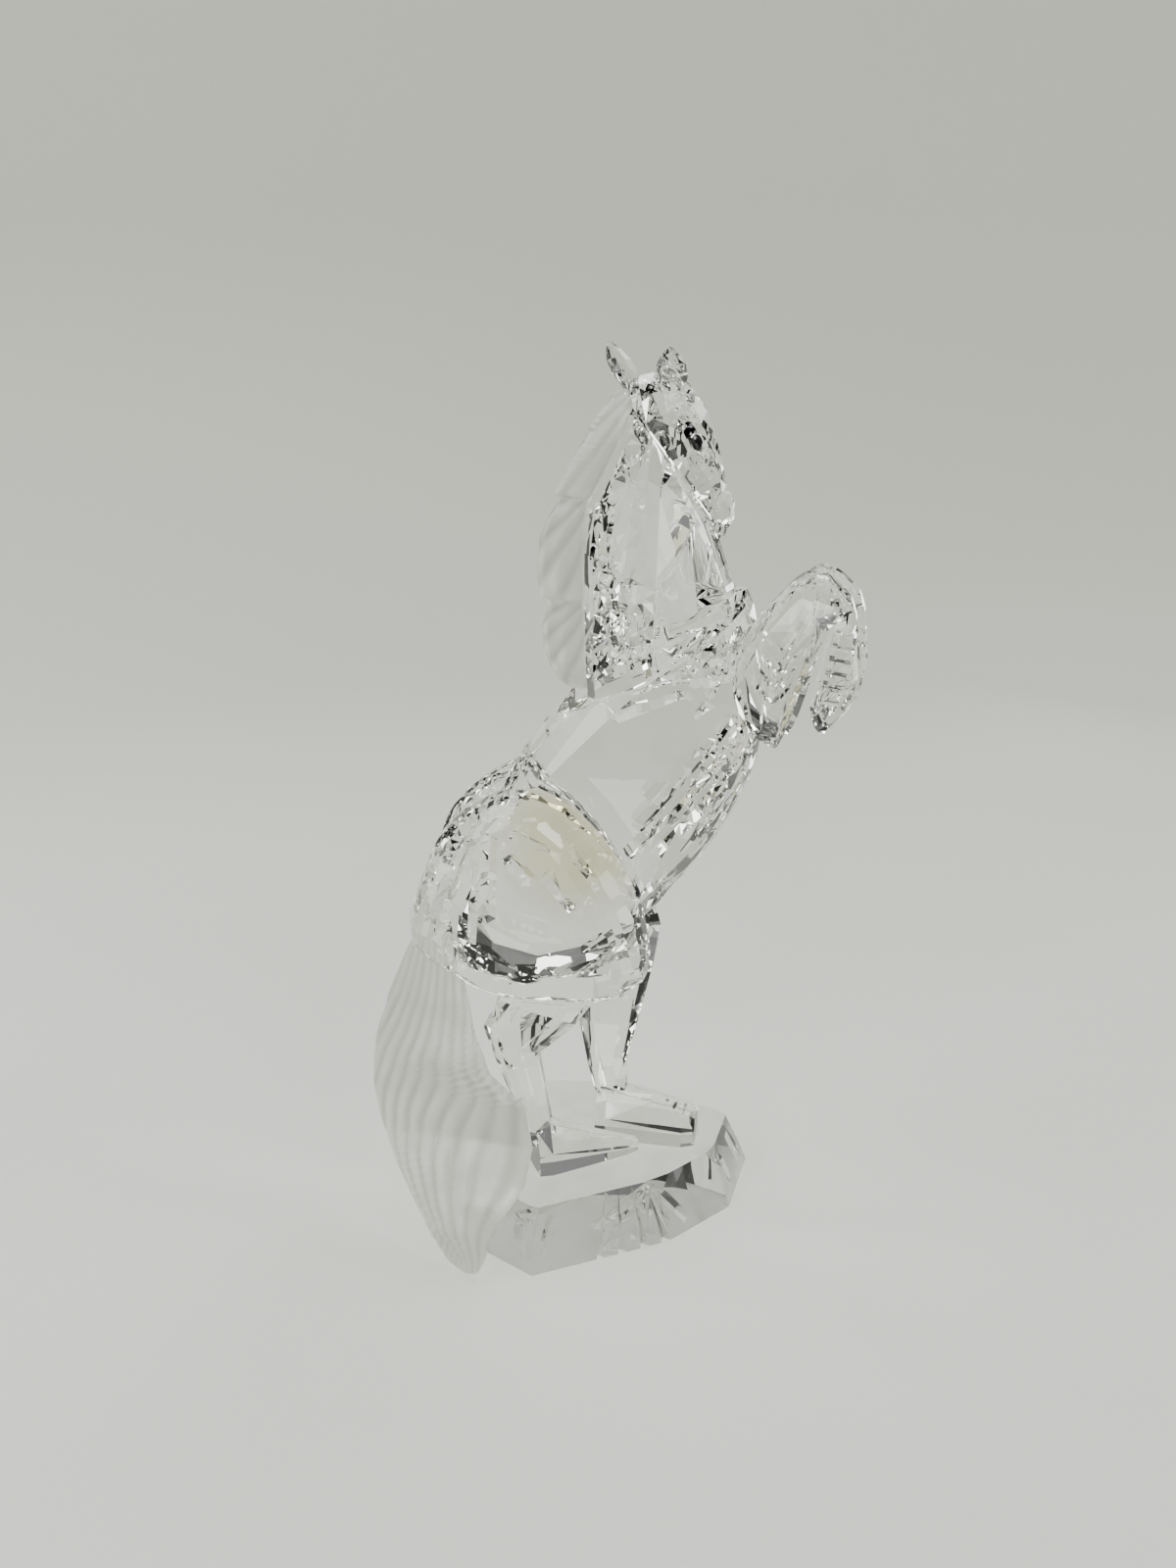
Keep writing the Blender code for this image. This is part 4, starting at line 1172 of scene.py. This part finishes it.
    def sweep(self) -> None:
        """Spins the floor, its curved rise and the wall round the figurine."""
        bm = bmesh.new()
        rise = self.wall_radius - self.floor_radius
        profile = [(radius, 0.0) for radius in (*self.floor_rings, self.floor_radius)]
        for step in range(1, self.rise_steps + 1):
            angle = 0.5 * math.pi * step / self.rise_steps
            profile.append((self.floor_radius + rise * math.sin(angle), rise * (1.0 - math.cos(angle))))
        profile.append((self.wall_radius, self.wall_height))
        verts = [bm.verts.new((radius, 0.0, height - self.floor_drop)) for radius, height in profile]
        edges = [bm.edges.new(pair) for pair in zip(verts, verts[1:])]
        bmesh.ops.spin(bm, geom=verts + edges, cent=(0.0, 0.0, 0.0), axis=(0.0, 0.0, 1.0),
                       angle=math.tau, steps=self.sweep_steps, use_merge=True)
        rim = [edge for edge in bm.edges
               if edge.is_boundary and edge.verts[0].co.length < self.floor_rings[1]]
        bmesh.ops.contextual_create(bm, geom=rim)
        bmesh.ops.recalc_face_normals(bm, faces=bm.faces[:])
        sweep = show_mesh("sweep", bm)
        bm.free()
        sweep.data.shade_smooth()
        # The floor's paper darkens towards the wall as painted shade.
        sweep.data.materials.append(self.plain("pale_paper_painted_shade", self.pale, far_shade=self.wall_shade))

    def light(self) -> None:
        """Hangs the lights and sets the dim room above the sweep."""
        for lamp in self.lights:
            lamp.hang(self.aim)
        world = bpy.data.worlds.new("dim_room")
        world.use_nodes = True
        world.node_tree.nodes["Background"].inputs["Color"].default_value = (*self.room, 1.0)
        bpy.context.scene.world = world

    def camera(self) -> None:
        """Sets the camera at the photograph's viewing angle."""
        back = Vector((math.sin(self.azimuth) * math.cos(self.elevation),
                       -math.cos(self.azimuth) * math.cos(self.elevation),
                       math.sin(self.elevation)))
        data = bpy.data.cameras.new("camera")
        data.lens = self.lens
        data.sensor_width = self.sensor
        data.clip_start, data.clip_end = self.clip
        camera = show("camera", data)
        camera.location = self.target + back * self.distance
        camera.rotation_mode = "QUATERNION"
        camera.rotation_quaternion = (-back).to_track_quat("-Z", "Y")
        bpy.context.scene.camera = camera


JOINTS = (("torso", ("neck", "right_foreleg", "left_foreleg", "right_hind_leg", "left_hind_leg")),
          ("neck", ("head", "mane")), ("torso", ("tail",)), ("base", ("right_hind_leg", "left_hind_leg")))


def figurine() -> dict[str, CutPiece]:
    """Lists the pieces of the figurine.

    Returns:
        Each piece by the name of its node.
    """
    near_thigh = patches((-22.4, -18.4, 79.0, 3.4), (-21.0, -16.0, 54.0, 4.6), (-14.0, -16.0, 52.6, 4.6),
                         (-7.0, -16.0, 54.0, 4.6), (-0.6, -15.0, 58.0, 4.4), (3.6, -13.4, 64.6, 3.6))
    columns = (
        path((-25.4, -17.5, 74.0), (-26.6, -18.2, 66.5), (-27.2, -18.4, 59.0)),
        path((-22.2, -18.8, 78.0), (-22.8, -19.4, 70.0), (-23.2, -19.6, 62.0), (-22.8, -19.2, 55.0)),
        path((-18.8, -19.6, 75.0), (-19.4, -20.0, 67.0), (-19.6, -20.0, 59.0)),
        path((-15.8, -20.1, 79.0), (-16.2, -20.1, 71.0), (-16.4, -20.1, 63.0)),
        path((-12.8, -20.1, 75.4), (-8.6, -20.1, 70.6)), path((-12.4, -20.1, 79.6), (-5.6, -20.0, 76.8)),
        path((-6.4, -20.1, 73.0), (-2.2, -20.0, 66.2)), path((-2.6, -18.6, 77.6), (1.4, -17.0, 69.4)))
    far_thigh = patches((-25.0, 19.4, 64.0, 4.6), (-21.6, 19.2, 73.0, 4.0), (-20.6, 19.6, 67.6, 3.4))
    ribs = tuple(path((x, 1.2, 17.4), (x + 0.6, 6.4, 17.4)) for x in (9.4, 11.2, 13.0, 14.8))
    locks = ((8.0, 152.0, 131.5), (3.0, 137.0, 114.5), (2.0, 119.0, 90.0))
    pieces = [
        Torso(), Neck(), HorseHead(), Foot(),
        HindLeg("right_hind_leg", chips=near_thigh, rows=columns),
        HindLeg("left_hind_leg", chips=far_thigh, ribs=ribs),
        Foreleg("right_foreleg"),
        Foreleg("left_foreleg", side=1, offset=spot(1.0, 0.0, -2.2)),
        SatinLock("mane", groove_depth=0.22 * MM, poles=locks),
        SatinLock("tail"),
    ]
    return {piece.node: piece for piece in pieces}


def main() -> None:
    """Builds the figurine's pieces and its studio."""
    logging.basicConfig(level=logging.INFO, format="%(name)s: %(message)s")
    studio = Studio()
    studio.camera()
    studio.sweep()
    studio.cards()
    studio.light()
    pieces = figurine()
    for seat, fitted in JOINTS:
        for loose in fitted:
            join(pieces[loose], pieces[seat])
            LOG.info("glued %s to %s", loose, seat)
    for name, piece in pieces.items():
        piece.cut()
        piece.engrave()
        piece.polish_edges()
        made = piece.finish()
        LOG.info("%s has %d faces", name, len(made.data.polygons))
    for name in ("right_eye", "left_eye"):
        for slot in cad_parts[name].material_slots:
            slot.material = JET_BEAD.material()


if __name__ == "__main__":
    main()
